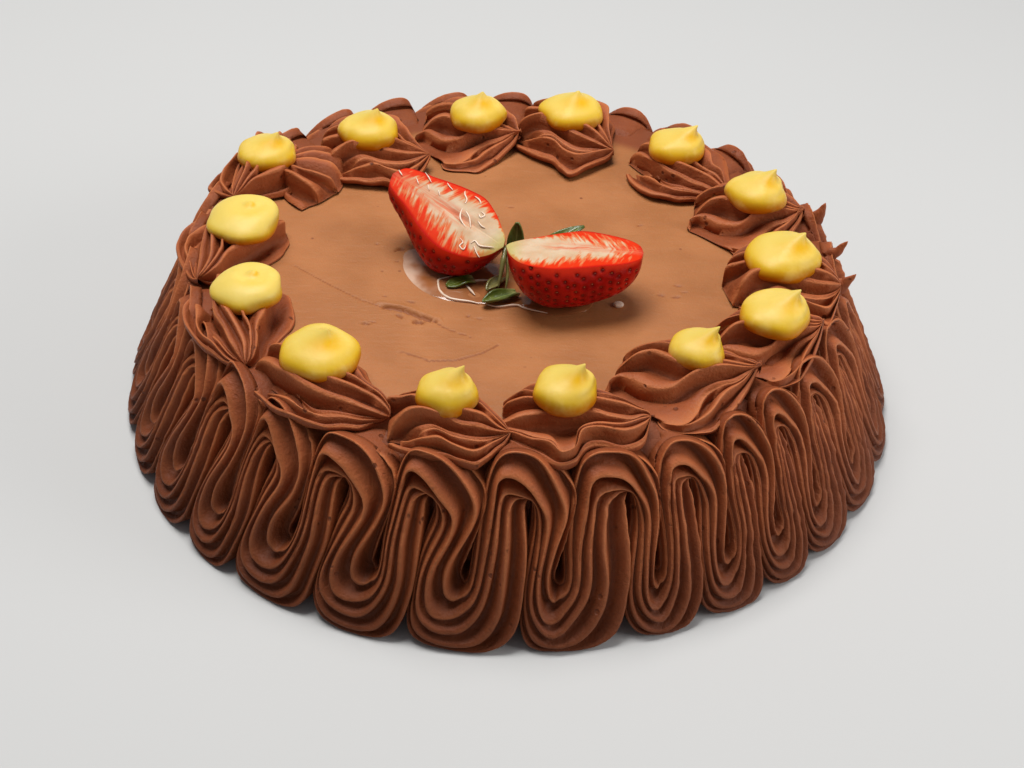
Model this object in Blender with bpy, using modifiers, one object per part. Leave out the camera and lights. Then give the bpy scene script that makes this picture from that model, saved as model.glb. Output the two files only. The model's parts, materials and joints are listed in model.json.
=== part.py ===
"""Truffle cream cake: a round cream cake with a piped serpentine side, a ring of
piped shells with yellow cream drops, and a strawberry cut in two on top.

Metres, +Z up. The origin is at the centre of the underside and the front is -Y.
"""

import math

import bmesh
import bpy
from mathutils import Matrix, Vector

MM = 0.001
GAP = 0.3 * MM

# Body: a low round cake whose wall leans inwards
BODY_HEIGHT = 49 * MM
WALL_FOOT_RADIUS = 116.5 * MM
WALL_TOP_RADIUS = 101.5 * MM
BODY_STEPS = 80
MERGE_DISTANCE = 0.01 * MM

# Angles in degrees above which an edge is drawn sharp
CREAM_SHARP_ANGLE = 50
FRUIT_SHARP_ANGLE = 60
DROP_SHARP_ANGLE = 80

# Side piping: one strand that runs up, over an arch, down and round a bend
CREST_FOOT_RADIUS = 131.5 * MM
CREST_TOP_RADIUS = 110.0 * MM
ARCH_TOP = 55 * MM
ARCH_NOTCH = 43 * MM
ARCH_PINCH = 35 * MM
BEND_PINCH = 15 * MM
BEND_NOTCH = 5 * MM
BEND_LEAN = 0.18
ARCH_LEAN = 0.20
ARCH_SHARE = 0.6
SEAM_DEPTH = 6.0 * MM
PINCH_DEPTH = 8.0 * MM
EDGE_DEPTH = 6.0 * MM
FLUTE_DEPTH = 2.6 * MM
STRAND_RIDGES = 4
RUN_ROWS = 2
TURN_ROWS = 5
LOOP_COUNT = 30
FLAT_SIDE_ANGLE = 188.0
FLAT_SIDE_SPREAD = 38.0
FLAT_SIDE_DEPTH = 5.5 * MM

# The loops that face the front: angle of each bend at the foot and of the arch after it
FRONT_LOOPS = (
    (-131.0, -125.5),
    (-119.5, -112.0),
    (-106.0, -98.8),
    (-93.0, -83.9),
    (-80.5, -69.2),
    (-66.5, -59.0),
    (-55.0, -49.0),
    (-45.5, -40.0),
    (-36.5, -29.0),
    (-24.5, -17.0),
)

# Ring of shells: angle and ring radius of each, and the way its tail points (1 is anticlockwise)
SHELL_HEAD = 17 * MM
SHELL_TAIL = 26 * MM
SHELL_HALF_WIDTH = 18.5 * MM
SHELL_HEIGHT = 12.5 * MM
SHELL_FLUTE = 0.17
SHELL_RIDGES = 5
SHELL_ROWS = 6
SHELL_MEAN_RADIUS = 86 * MM
SHELL_INNER_RADIUS = 58 * MM
SHELL_OUTER_RADIUS = 99.2 * MM
SHELL_OVERHANG_RADIUS = 106.0 * MM
HEAD_MARGIN = 0.6
WEDGE_STEPS = 5

# Width and height of a shell as shares of the full ones, at its two ends, and how fast they fall
HEAD_END_WIDTH = 0.22
HEAD_END_HEIGHT = 0.35
TAIL_END_WIDTH = 0.14
TAIL_END_HEIGHT = 0.22
TAIL_WIDTH_FALL = 1.15
TAIL_HEIGHT_FALL = 1.3
SHELL_ROUNDNESS = 0.8

# The ruffled swirl where the piping of the ring began, inside the last shell
START_SWIRL_SPLIT = 80 * MM
START_SWIRL_RADIUS = 72 * MM
START_SWIRL_SIZE = 0.7
START_SWIRL_PLACE = 0.33

# Each drop: angle, ring radius, width, height, lean to +X and +Y, tail direction of its shell
DROPS = (
    (128.9, 79.0, 21.0, 13.0, 3.0, 0.0, -1),
    (99.1, 78.0, 20.0, 13.0, 1.5, 0.0, -1),
    (75.7, 84.7, 22.5, 12.0, 2.0, 0.5, -1),
    (46.3, 83.1, 20.0, 12.5, 6.5, 0.0, -1),
    (20.3, 88.3, 20.5, 13.5, 5.5, 0.0, -1),
    (-5.3, 88.4, 24.6, 13.5, 6.0, 0.0, 1),
    (-25.5, 92.0, 21.8, 13.0, 6.5, 0.0, 1),
    (-45.9, 83.4, 16.6, 12.5, 6.0, 0.0, 1),
    (-76.7, 85.3, 19.2, 14.0, 5.0, 0.0, 1),
    (-99.3, 87.5, 17.5, 14.0, 5.0, 0.0, 1),
    (-126.5, 86.9, 23.4, 13.0, 2.5, 0.0, 1),
    (-153.5, 86.8, 21.6, 9.5, 2.5, 2.0, 1),
    (179.8, 84.4, 22.9, 9.5, 2.5, 2.5, 1),
    (152.0, 93.7, 20.3, 12.0, 4.0, 0.0, 1),
)
DROP_BASE = 55.5 * MM
DROP_DOME = 9.0 * MM
DROP_DOME_SHARE = 0.93
DROP_DOME_CURVE = 1.6
DROP_TIP_LEVEL = 0.72
DROP_TIP_CURVE = 1.5
DROP_FULLNESS = 0.8
DROP_SEGMENTS = 9
DROP_RINGS = 5

# Outlines of the strawberry halves: share of the length, then share of the half width or depth
LEFT_BACK_EDGE = (
    (0.0, 0.0), (0.04, 0.22), (0.12, 0.40), (0.22, 0.60), (0.34, 0.74), (0.48, 0.70),
    (0.62, 0.60), (0.75, 0.50), (0.88, 0.40), (0.96, 0.28), (1.0, 0.0),
)
LEFT_FRONT_EDGE = (
    (0.0, 0.0), (0.03, 0.36), (0.10, 0.70), (0.20, 0.94), (0.32, 1.05), (0.45, 1.0),
    (0.60, 0.82), (0.75, 0.62), (0.88, 0.46), (0.96, 0.32), (1.0, 0.0),
)
LEFT_DEPTH = (
    (0.0, 0.0), (0.03, 0.35), (0.10, 0.66), (0.20, 0.90), (0.32, 1.0), (0.5, 0.95),
    (0.68, 0.80), (0.82, 0.66), (0.92, 0.52), (0.98, 0.33), (1.0, 0.0),
)
RIGHT_FRONT_EDGE = (
    (0.0, 0.0), (0.03, 0.42), (0.10, 0.78), (0.20, 1.0), (0.32, 1.06), (0.48, 1.0),
    (0.64, 0.86), (0.80, 0.70), (0.92, 0.50), (0.98, 0.28), (1.0, 0.0),
)
RIGHT_BACK_EDGE = (
    (0.0, 0.0), (0.03, 0.16), (0.12, 0.36), (0.25, 0.58), (0.40, 0.80), (0.53, 0.97),
    (0.66, 0.95), (0.80, 0.78), (0.92, 0.56), (0.98, 0.32), (1.0, 0.0),
)
RIGHT_DEPTH = (
    (0.0, 0.0), (0.03, 0.32), (0.10, 0.62), (0.20, 0.87), (0.32, 1.0), (0.5, 0.98),
    (0.68, 0.88), (0.82, 0.74), (0.92, 0.54), (0.98, 0.30), (1.0, 0.0),
)

# Strawberry halves: name, stem, heading, rise, roll, half width, depth, length, the two edges and
# the depth outline
BERRIES = (
    (
        "left", (-0.5, -12.0), 147.0, 14.0, 20.0, 15.5, 15.0, 45.0,
        LEFT_BACK_EDGE, LEFT_FRONT_EDGE, LEFT_DEPTH,
    ),
    (
        "right", (0.5, -20.0), -1.0, 0.0, 9.0, 15.5, 18.0, 42.5,
        RIGHT_FRONT_EDGE, RIGHT_BACK_EDGE, RIGHT_DEPTH,
    ),
)
BERRY_COLUMNS = 9
BERRY_ROWS = 10
BERRY_END = 0.012

# Calyx leaves: place on the cake, heading, length, width, height of the curl, tilt
LEAVES = (
    (3.0, -4.0, 80.0, 14.0, 6.0, 4.0, 62.0),
    (12.5, -0.5, 20.0, 16.0, 8.0, -6.0, 60.0),
    (-9.5, -13.5, 208.0, 9.5, 5.5, 0.6, 0.0),
    (0.0, -12.5, 240.0, 10.0, 5.5, 1.0, 4.0),
    (4.5, -20.5, 215.0, 13.0, 6.5, 1.5, 2.0),
)
LEAF_THICKNESS = 0.6 * MM
LEAF_ROWS = 6
LEAF_START = 0.12
LEAF_SPAN = 0.86
LEAF_END = 0.96
LEAF_POINT = 0.7
LEAF_CUP = 0.22
LEAF_RIPPLE = 0.35 * MM
LEAF_RIPPLE_TURN = 5


def clear_scene():
    for thing in list(bpy.data.objects):
        bpy.data.objects.remove(thing, do_unlink=True)


def new_collection(name):
    collection = bpy.data.collections.new(name)
    bpy.context.scene.collection.children.link(collection)
    return collection


def new_material(name, color, roughness):
    material = bpy.data.materials.new(name)
    material.use_nodes = True
    shader = material.node_tree.nodes["Principled BSDF"]
    shader.inputs["Base Color"].default_value = (*color, 1.0)
    shader.inputs["Roughness"].default_value = roughness
    shader.inputs["Metallic"].default_value = 0.0
    return material


def add_object(name, mesh, material, collection, smooth_angle=CREAM_SHARP_ANGLE):
    mesh.materials.append(material)
    thing = bpy.data.objects.new(name, mesh)
    collection.objects.link(thing)
    mesh.shade_smooth()
    mesh.set_sharp_from_angle(angle=math.radians(smooth_angle))
    return thing


def mesh_from(name, work):
    bmesh.ops.recalc_face_normals(work, faces=work.faces[:])
    mesh = bpy.data.meshes.new(name)
    work.to_mesh(mesh)
    work.free()
    return mesh


def loft(sections):
    """Skins a row of closed sections of equal count and closes both ends with fans."""
    work = bmesh.new()
    rings = [[work.verts.new(point) for point in section] for section in sections]
    count = len(rings[0])
    for ring, after in zip(rings, rings[1:]):
        for index in range(count):
            follow = (index + 1) % count
            work.faces.new((ring[index], ring[follow], after[follow], after[index]))
    for ring in (rings[0], rings[-1]):
        middle = sum((vert.co for vert in ring), Vector()) / count
        hub = work.verts.new(middle)
        for index in range(count):
            work.faces.new((hub, ring[index], ring[(index + 1) % count]))
    return work


def polar(angle, radius, height):
    return Vector((radius * math.cos(angle), radius * math.sin(angle), height))


def blend(start, end, share):
    return start + (end - start) * share


def wall_radius(height):
    return blend(WALL_FOOT_RADIUS, WALL_TOP_RADIUS, height / BODY_HEIGHT)


def crest_radius(angle, height):
    """Radius of the piping's ridges; the cake is a little flatter on its left."""
    off = (math.degrees(angle) - FLAT_SIDE_ANGLE + 180) % 360 - 180
    flat = FLAT_SIDE_DEPTH * math.exp(-((off / FLAT_SIDE_SPREAD) ** 2))
    return blend(CREST_FOOT_RADIUS, CREST_TOP_RADIUS, height / BODY_HEIGHT) - flat


def loop_angles():
    """Angles of all bends and arches: the front ones as measured, the rest spread evenly."""
    loops = [(math.radians(bend), math.radians(arch)) for bend, arch in FRONT_LOOPS]
    first = loops[0][0]
    last = loops[-1][0]
    rest = LOOP_COUNT - len(loops)
    step = (first + 2 * math.pi - last) / (rest + 1)
    for index in range(rest):
        bend = last + step * (index + 1)
        loops.append((bend, bend + ARCH_SHARE * step))
    return loops


def strand_point(angle, height, depth):
    """A point of the strand's surface, so deep behind the crest cone."""
    return polar(angle, crest_radius(angle, height) - depth, height)


def turn_outline(start, end, base, peak, lean, share):
    """A point on the leaning round outline of an arch or, where the peak is below, of a bend."""
    sweep = math.pi * share
    half_width = (end - start) / 2
    middle = (start + end) / 2
    skew = lean * math.sin(sweep) * (math.cos(sweep) - 1)
    return middle + half_width * (skew - math.cos(sweep)), blend(base, peak, math.sin(sweep))


def row_depth(share, left_depth, right_depth):
    """Depth across the strand: round over its width, with flutes between the ridges."""
    across = 2 * share - 1
    edge = blend(left_depth, right_depth, share)
    round_over = edge * (1 - math.sqrt(max(0.0, 1 - across * across)))
    flute = 0.5 + 0.5 * math.cos(2 * math.pi * STRAND_RIDGES * share)
    inside = 1 - abs(across) ** 6
    return round_over + FLUTE_DEPTH * flute * inside


def loop_at(loops, index):
    """Bend and arch angle of a loop, counted on past one turn round the cake."""
    turns, place = divmod(index, len(loops))
    bend, arch = loops[place]
    return bend + turns * 2 * math.pi, arch + turns * 2 * math.pi


def strand_rows():
    """Rows across the strand for one trip round the cake: two edge points and their depths."""
    loops = loop_angles()
    rows = []
    for index in range(LOOP_COUNT):
        arch_before = loop_at(loops, index - 1)[1]
        bend, arch = loop_at(loops, index)
        after, arch_after = loop_at(loops, index + 1)
        later = loop_at(loops, index + 2)[0]
        notch_left = blend(arch_before, arch, 0.5)
        notch_right = blend(arch, arch_after, 0.5)
        foot = blend(bend, after, 0.5)
        foot_after = blend(after, later, 0.5)
        rows += run_rows((bend, BEND_PINCH), (notch_left, ARCH_NOTCH), (foot, BEND_NOTCH), (arch, ARCH_PINCH))
        for step in range(TURN_ROWS):
            place = (notch_left, notch_right, ARCH_NOTCH, ARCH_TOP, ARCH_LEAN, step / TURN_ROWS)
            rows.append((turn_outline(*place), (arch, ARCH_PINCH), turn_depth(step), PINCH_DEPTH))
        foot_point = (foot, BEND_NOTCH)
        rows += run_rows((notch_right, ARCH_NOTCH), (after, BEND_PINCH), (arch, ARCH_PINCH), foot_point)
        for step in range(TURN_ROWS):
            place = (foot, foot_after, BEND_NOTCH, 0.0, -BEND_LEAN, step / TURN_ROWS)
            rows.append(((after, BEND_PINCH), turn_outline(*place), PINCH_DEPTH, turn_depth(step)))
    return rows


def turn_depth(step):
    return SEAM_DEPTH if step == 0 else EDGE_DEPTH


def run_rows(left_start, left_end, right_start, right_end):
    """Rows along a straight run, without its last row, which the next turn starts with."""
    rows = []
    for step in range(RUN_ROWS):
        share = step / RUN_ROWS
        left = tuple(blend(a, b, share) for a, b in zip(left_start, left_end))
        right = tuple(blend(a, b, share) for a, b in zip(right_start, right_end))
        ends = (end_depth(left_start, share), end_depth(right_start, share))
        rows.append((left, right, *ends))
    return rows


def end_depth(start, share):
    """Seams are shallow, and the points where a turn's ridges meet are deep."""
    at_pinch = share == 0 and start[1] in (ARCH_PINCH, BEND_PINCH)
    return PINCH_DEPTH if at_pinch else SEAM_DEPTH


def make_side_piping(material, collection):
    work = bmesh.new()
    count = 2 * STRAND_RIDGES
    grid = []
    for left, right, left_depth, right_depth in strand_rows():
        row = []
        for index in range(count + 1):
            share = index / count
            angle = blend(left[0], right[0], share)
            height = blend(left[1], right[1], share)
            depth = row_depth(share, left_depth, right_depth)
            row.append(work.verts.new(strand_point(angle, height, depth)))
        grid.append(row)
    for row, after in zip(grid, grid[1:] + grid[:1]):
        for index in range(count):
            work.faces.new((row[index], row[index + 1], after[index + 1], after[index]))
    bmesh.ops.remove_doubles(work, verts=work.verts[:], dist=2 * MERGE_DISTANCE)
    bmesh.ops.dissolve_degenerate(work, dist=MERGE_DISTANCE, edges=work.edges[:])
    rim = [edge for edge in work.edges if edge.is_boundary]
    pushed = bmesh.ops.extrude_edge_only(work, edges=rim)["geom"]
    for vert in [item for item in pushed if isinstance(item, bmesh.types.BMVert)]:
        angle = math.atan2(vert.co.y, vert.co.x)
        vert.co = polar(angle, wall_radius(vert.co.z) + GAP, vert.co.z)
    back = [edge for edge in work.edges if edge.is_boundary]
    bmesh.ops.bridge_loops(work, edges=back)
    bmesh.ops.triangulate(work, faces=work.faces[:])
    return add_object("side_piping", mesh_from("side_piping", work), material, collection)


def make_body(material, collection):
    profile = bpy.data.meshes.new("cake_body")
    outline = (
        (0, 0, BODY_HEIGHT),
        (WALL_TOP_RADIUS, 0, BODY_HEIGHT),
        (WALL_FOOT_RADIUS, 0, 0),
        (0, 0, 0),
    )
    links = [(index, index + 1) for index in range(len(outline) - 1)]
    profile.from_pydata(outline, links, [])
    body = bpy.data.objects.new("cake_body", profile)
    collection.objects.link(body)
    profile.materials.append(material)
    screw = body.modifiers.new("turn", "SCREW")
    screw.steps = BODY_STEPS
    screw.render_steps = BODY_STEPS
    screw.use_merge_vertices = True
    screw.merge_threshold = MERGE_DISTANCE
    screw.use_smooth_shade = False
    return body


def shell_section(share, size):
    """Half width, height and place along the shell, as shares of its full size."""
    peak = SHELL_HEAD / (SHELL_HEAD + SHELL_TAIL)
    if share < peak:
        swell = math.sqrt(max(0.0, 1 - ((peak - share) / peak) ** 2))
        return max(swell, HEAD_END_WIDTH) * size, blend(HEAD_END_HEIGHT, 1, swell) * size
    fall = math.cos((share - peak) / (1 - peak) * math.pi / 2)
    half_width = blend(TAIL_END_WIDTH, 1, fall**TAIL_WIDTH_FALL)
    return half_width * size, blend(TAIL_END_HEIGHT, 1, fall**TAIL_HEIGHT_FALL) * size


def shell_mesh(name, angle, radius, heading, size):
    """A fluted shell of piped cream that follows the ring and narrows to its tail."""
    sections = []
    count = 2 * SHELL_RIDGES
    for row in range(SHELL_ROWS + 1):
        share = row / SHELL_ROWS
        along = blend(-SHELL_HEAD, SHELL_TAIL, share) * size
        half_width, height = shell_section(share, size)
        section = []
        for index in range(count + 1):
            sweep = math.pi * index / count
            ridge = 1 - SHELL_FLUTE * (index % 2 == 0) * (0 < index < count)
            side = -math.cos(sweep) * half_width * SHELL_HALF_WIDTH * ridge
            rise = math.sin(sweep) ** SHELL_ROUNDNESS * height * SHELL_HEIGHT * ridge
            turned = angle + heading * along / radius
            section.append(polar(turned, radius + side, BODY_HEIGHT + GAP + rise))
        sections.append(section if heading > 0 else section[::-1])
    return mesh_from(name, loft(sections))


def ring_wedge(name, low, high, inner, outer, overhang, collection):
    """A cutter: the slice of ring between two angles that one shell may fill."""
    floor = BODY_HEIGHT + GAP
    ledge = ARCH_TOP + GAP
    roof = BODY_HEIGHT + 2 * SHELL_HEIGHT
    outer_side = ((outer, floor), (outer, ledge), (overhang, ledge), (overhang, roof))
    outline = ((inner, floor), *outer_side, (inner, roof))
    sections = []
    for step in range(WEDGE_STEPS + 1):
        angle = blend(low, high, step / WEDGE_STEPS)
        sections.append([polar(angle, radius, height) for radius, height in outline])
    cutter = bpy.data.objects.new(name, mesh_from(name, loft(sections)))
    collection.objects.link(cutter)
    cutter.display_type = "WIRE"
    cutter.hide_render = True
    return cutter


def cut(thing, cutter, operation):
    modifier = thing.modifiers.new("cut", "BOOLEAN")
    modifier.operation = operation
    modifier.solver = "MANIFOLD"
    modifier.object = cutter


def shell_limits():
    """The two angles that bound each shell: a head is whole and the tail behind it is cut short."""
    ordered = sorted(DROPS, key=lambda drop: drop[0])
    limits = {}
    head_angle = math.degrees(SHELL_HEAD / SHELL_MEAN_RADIUS) + HEAD_MARGIN
    edges = []
    for index, drop in enumerate(ordered):
        after = ordered[(index + 1) % len(ordered)]
        after_angle = after[0] + (360 if index + 1 == len(ordered) else 0)
        middle = (drop[0] + after_angle) / 2
        head_ahead = after[6] > 0
        head_behind = drop[6] < 0
        if head_ahead and not head_behind:
            edges.append(max(middle, after_angle - head_angle))
        elif head_behind and not head_ahead:
            edges.append(min(middle, drop[0] + head_angle))
        else:
            edges.append(middle)
    for index, drop in enumerate(ordered):
        low = edges[index - 1] - (360 if index == 0 else 0)
        limits[drop[0]] = (math.radians(low), math.radians(edges[index]))
    return limits


def drop_mesh(name, width, height, lean, swell=0.0):
    """A soft drop: a flattened ball drawn up to one point that leans over."""
    work = bmesh.new()
    bmesh.ops.create_uvsphere(work, u_segments=DROP_SEGMENTS, v_segments=DROP_RINGS, radius=1)
    for vert in work.verts:
        level = (vert.co.z + 1) / 2
        spread = math.hypot(vert.co.x, vert.co.y)
        dome = DROP_DOME * (1 - (1 - level) ** DROP_DOME_CURVE) / DROP_DOME_SHARE
        tip = max(0.0, level - DROP_TIP_LEVEL) / (1 - DROP_TIP_LEVEL)
        rise = min(dome, DROP_DOME) + (height - DROP_DOME) * tip**DROP_TIP_CURVE
        flat = Vector((vert.co.x, vert.co.y, 0))
        flat = flat / spread * spread**DROP_FULLNESS if spread > 0.001 else flat
        vert.co = flat * (width / 2 + swell) + lean * tip
        vert.co.z = rise * (1 + 2 * swell / height) - swell
    return mesh_from(name, work)


def make_ring(cream, yellow, collection, cutters):
    limits = shell_limits()
    for index, drop in enumerate(DROPS):
        angle, radius, width, height, lean_x, lean_y, heading = drop
        turned = math.radians(angle)
        number = f"{index + 1:02d}"
        place = polar(turned, radius * MM, DROP_BASE)
        lean = Vector((lean_x, lean_y, 0)) * MM
        shell = add_object(
            f"top_shell_{number}",
            shell_mesh(f"top_shell_{number}", turned, radius * MM, heading, 1.0),
            cream,
            collection,
        )
        low, high = limits[angle]
        space = GAP / (radius * MM) / 2
        inner = START_SWIRL_SPLIT + GAP if index + 1 == len(DROPS) else SHELL_INNER_RADIUS
        reach = (inner, SHELL_OUTER_RADIUS, SHELL_OVERHANG_RADIUS)
        wedge = ring_wedge(f"wedge_{number}", low + space, high - space, *reach, cutters)
        cut(shell, wedge, "INTERSECT")
        dent_mesh = drop_mesh(f"dent_{number}", width * MM, height * MM, lean, GAP)
        dent = bpy.data.objects.new(dent_mesh.name, dent_mesh)
        cutters.objects.link(dent)
        dent.location = place
        dent.display_type = "WIRE"
        dent.hide_render = True
        cut(shell, dent, "DIFFERENCE")
        drop_thing = add_object(
            f"cream_drop_{number}",
            drop_mesh(f"cream_drop_{number}", width * MM, height * MM, lean),
            yellow,
            collection,
            DROP_SHARP_ANGLE,
        )
        drop_thing.location = place


def outline_at(outline, share):
    """Width of an outline at a share of its length."""
    for (start, start_width), (end, end_width) in zip(outline, outline[1:]):
        if share <= end:
            return blend(start_width, end_width, (share - start) / (end - start))
    return 0.0


def berry_axes(heading, rise, roll):
    """Long axis, face normal and width direction of a half that lies on its round side."""
    axis = Vector((math.cos(rise) * math.cos(heading), math.cos(rise) * math.sin(heading), math.sin(rise)))
    side = Vector((0, 0, 1)).cross(axis).normalized()
    upright = axis.cross(side)
    normal = upright * math.cos(roll) + side * math.sin(roll)
    return axis, normal, normal.cross(axis)


def make_berry_half(berry, material, collection):
    """Half a strawberry: a flat cut face and a round side that follow the fruit's outlines."""
    name, (stem_x, stem_y), heading, rise, roll, half_width, depth, length = berry[:8]
    first_edge, second_edge, deep_edge = berry[8:]
    axis, normal, across = berry_axes(math.radians(heading), math.radians(rise), math.radians(roll))
    sections = []
    for row in range(BERRY_ROWS + 1):
        share = blend(BERRY_END, 1 - BERRY_END, (1 - math.cos(math.pi * row / BERRY_ROWS)) / 2)
        deep = outline_at(deep_edge, share) * depth * MM
        section = []
        for column in range(BERRY_COLUMNS + 1):
            sweep = math.pi * column / BERRY_COLUMNS
            edge = first_edge if sweep < math.pi / 2 else second_edge
            width = outline_at(edge, share) * half_width * MM
            place = axis * (share * length * MM)
            place -= across * (math.cos(sweep) * width)
            section.append(place - normal * (math.sin(sweep) * deep))
        sections.append(section)
    work = loft(sections)
    lowest = min(vert.co.z for vert in work.verts)
    bmesh.ops.translate(work, verts=work.verts[:], vec=(stem_x * MM, stem_y * MM, BODY_HEIGHT + GAP - lowest))
    full_name = f"strawberry_{name}"
    return add_object(full_name, mesh_from(full_name, work), material, collection, FRUIT_SHARP_ANGLE)


def make_leaf(name, place, heading, length, width, curl, tilt, material, collection):
    """A thin pointed leaf that lifts and curls along its length."""
    work = bmesh.new()
    rows = []
    for row in range(LEAF_ROWS + 1):
        share = row / LEAF_ROWS
        half = width / 2 * math.sin(math.pi * min(LEAF_END, LEAF_START + LEAF_SPAN * share)) ** LEAF_POINT
        lift = curl * share * share + LEAF_RIPPLE * math.sin(LEAF_RIPPLE_TURN * share)
        cup = LEAF_CUP * half
        points = ((-half, lift + cup), (0, lift), (half, lift + cup))
        rows.append([work.verts.new((share * length, side, rise)) for side, rise in points])
    for row, after in zip(rows, rows[1:]):
        for index in range(2):
            work.faces.new((row[index], after[index], after[index + 1], row[index + 1]))
    bmesh.ops.triangulate(work, faces=work.faces[:])
    mesh = bpy.data.meshes.new(name)
    work.to_mesh(mesh)
    work.free()
    leaf = add_object(name, mesh, material, collection, FRUIT_SHARP_ANGLE)
    leaf.matrix_world = (
        Matrix.Translation(place)
        @ Matrix.Rotation(math.radians(heading), 4, "Z")
        @ Matrix.Rotation(-math.radians(tilt), 4, "Y")
    )
    solid = leaf.modifiers.new("thickness", "SOLIDIFY")
    solid.thickness = LEAF_THICKNESS
    solid.offset = 1
    return leaf


def make_leaves(material, collection):
    floor = BODY_HEIGHT + GAP
    for index, (x, y, heading, length, width, curl, tilt) in enumerate(LEAVES):
        place = Vector((x * MM, y * MM, floor))
        name = f"calyx_leaf_{index + 1:02d}"
        make_leaf(name, place, heading, length * MM, width * MM, curl * MM, tilt, material, collection)


def make_start_swirl(cream, collection, cutters):
    """The small ruffled swirl inside the ring where the piping of the shells began."""
    low, high = shell_limits()[DROPS[-1][0]]
    space = GAP / START_SWIRL_RADIUS
    angle = blend(low, high, START_SWIRL_PLACE)
    shape = shell_mesh("start_swirl", angle, START_SWIRL_RADIUS, -1, START_SWIRL_SIZE)
    swirl = add_object("start_swirl", shape, cream, collection)
    reach = (SHELL_INNER_RADIUS, START_SWIRL_SPLIT, START_SWIRL_SPLIT + GAP / 2)
    wedge = ring_wedge("wedge_start", low + space, high - space, *reach, cutters)
    cut(swirl, wedge, "INTERSECT")


def main():
    clear_scene()
    cake = new_collection("truffle_cream_cake")
    cutters = new_collection("cutters")
    cream = new_material("truffle_cream", (0.235, 0.085, 0.038), 0.48)
    yellow = new_material("yellow_cream", (0.86, 0.66, 0.16), 0.35)
    berry = new_material("strawberry", (0.62, 0.03, 0.02), 0.25)
    green = new_material("calyx", (0.08, 0.16, 0.03), 0.45)
    make_body(cream, cake)
    make_side_piping(cream, cake)
    make_ring(cream, yellow, cake, cutters)
    make_start_swirl(cream, cake, cutters)
    for half in BERRIES:
        make_berry_half(half, berry, cake)
    make_leaves(green, cake)


main()
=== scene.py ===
"""Looks of the truffle cream cake: fine cream, lemon drops, fruit, light and camera.

Metres, +Z up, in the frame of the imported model: the origin is at the centre of the
underside and the front is -Y. Each fine piece replaces the plain solid it follows.
"""

import json
import math
import random

import bmesh
import bpy
import numpy
from mathutils import Matrix, Vector, noise

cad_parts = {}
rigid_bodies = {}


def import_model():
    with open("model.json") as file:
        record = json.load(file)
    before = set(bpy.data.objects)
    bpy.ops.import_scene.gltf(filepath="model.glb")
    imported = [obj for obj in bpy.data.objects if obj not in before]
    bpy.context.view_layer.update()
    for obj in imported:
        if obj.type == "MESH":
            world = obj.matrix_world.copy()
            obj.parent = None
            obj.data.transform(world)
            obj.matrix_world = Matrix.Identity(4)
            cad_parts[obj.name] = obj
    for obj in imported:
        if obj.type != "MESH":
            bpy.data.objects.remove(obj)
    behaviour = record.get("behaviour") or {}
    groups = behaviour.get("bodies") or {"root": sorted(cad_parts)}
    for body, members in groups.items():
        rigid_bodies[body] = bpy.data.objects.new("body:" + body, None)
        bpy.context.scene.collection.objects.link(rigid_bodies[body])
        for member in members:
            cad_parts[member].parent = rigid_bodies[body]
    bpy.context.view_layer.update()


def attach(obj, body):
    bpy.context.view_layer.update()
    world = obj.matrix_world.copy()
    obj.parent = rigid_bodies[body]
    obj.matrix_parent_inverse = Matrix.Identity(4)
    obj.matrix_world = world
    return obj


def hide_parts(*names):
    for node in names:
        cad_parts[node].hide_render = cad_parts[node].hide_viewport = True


MM = 0.001
MERGE_DISTANCE = 0.005 * MM
SHORTEST_EDGE = 0.001 * MM
NOISE_SEED = 1

# Camera
CAMERA_PLACE = (6.6 * MM, -489.4 * MM, 368.6 * MM)
CAMERA_PAN = -0.32
CAMERA_PITCH = 37.1
CAMERA_ROLL = 2.26
PHOTO_WIDTH = 1024
FOCAL_PIXELS = 1800
SENSOR_WIDTH = 36.0
CLIP_START = 10 * MM

# Body, the same as in the solids
BODY_HEIGHT = 49 * MM
WALL_FOOT_RADIUS = 116.5 * MM
WALL_TOP_RADIUS = 101.5 * MM
CREST_FOOT_RADIUS = 131.5 * MM
CREST_TOP_RADIUS = 110.0 * MM
FLAT_SIDE_ANGLE = 188.0
FLAT_SIDE_SPREAD = 38.0
FLAT_SIDE_DEPTH = 5.5 * MM

# Top of the body: a fine grid inside this radius, sunk by a share of its waves
TOP_GRID_RADIUS = 76 * MM
TOP_GRID_CELLS = 250
TOP_WAVE = 0.35 * MM
TOP_WAVE_LENGTH = 24 * MM
TOP_GRAIN = 0.05 * MM
TOP_GRAIN_LENGTH = 2.5 * MM
TOP_SINK = 0.6

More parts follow.
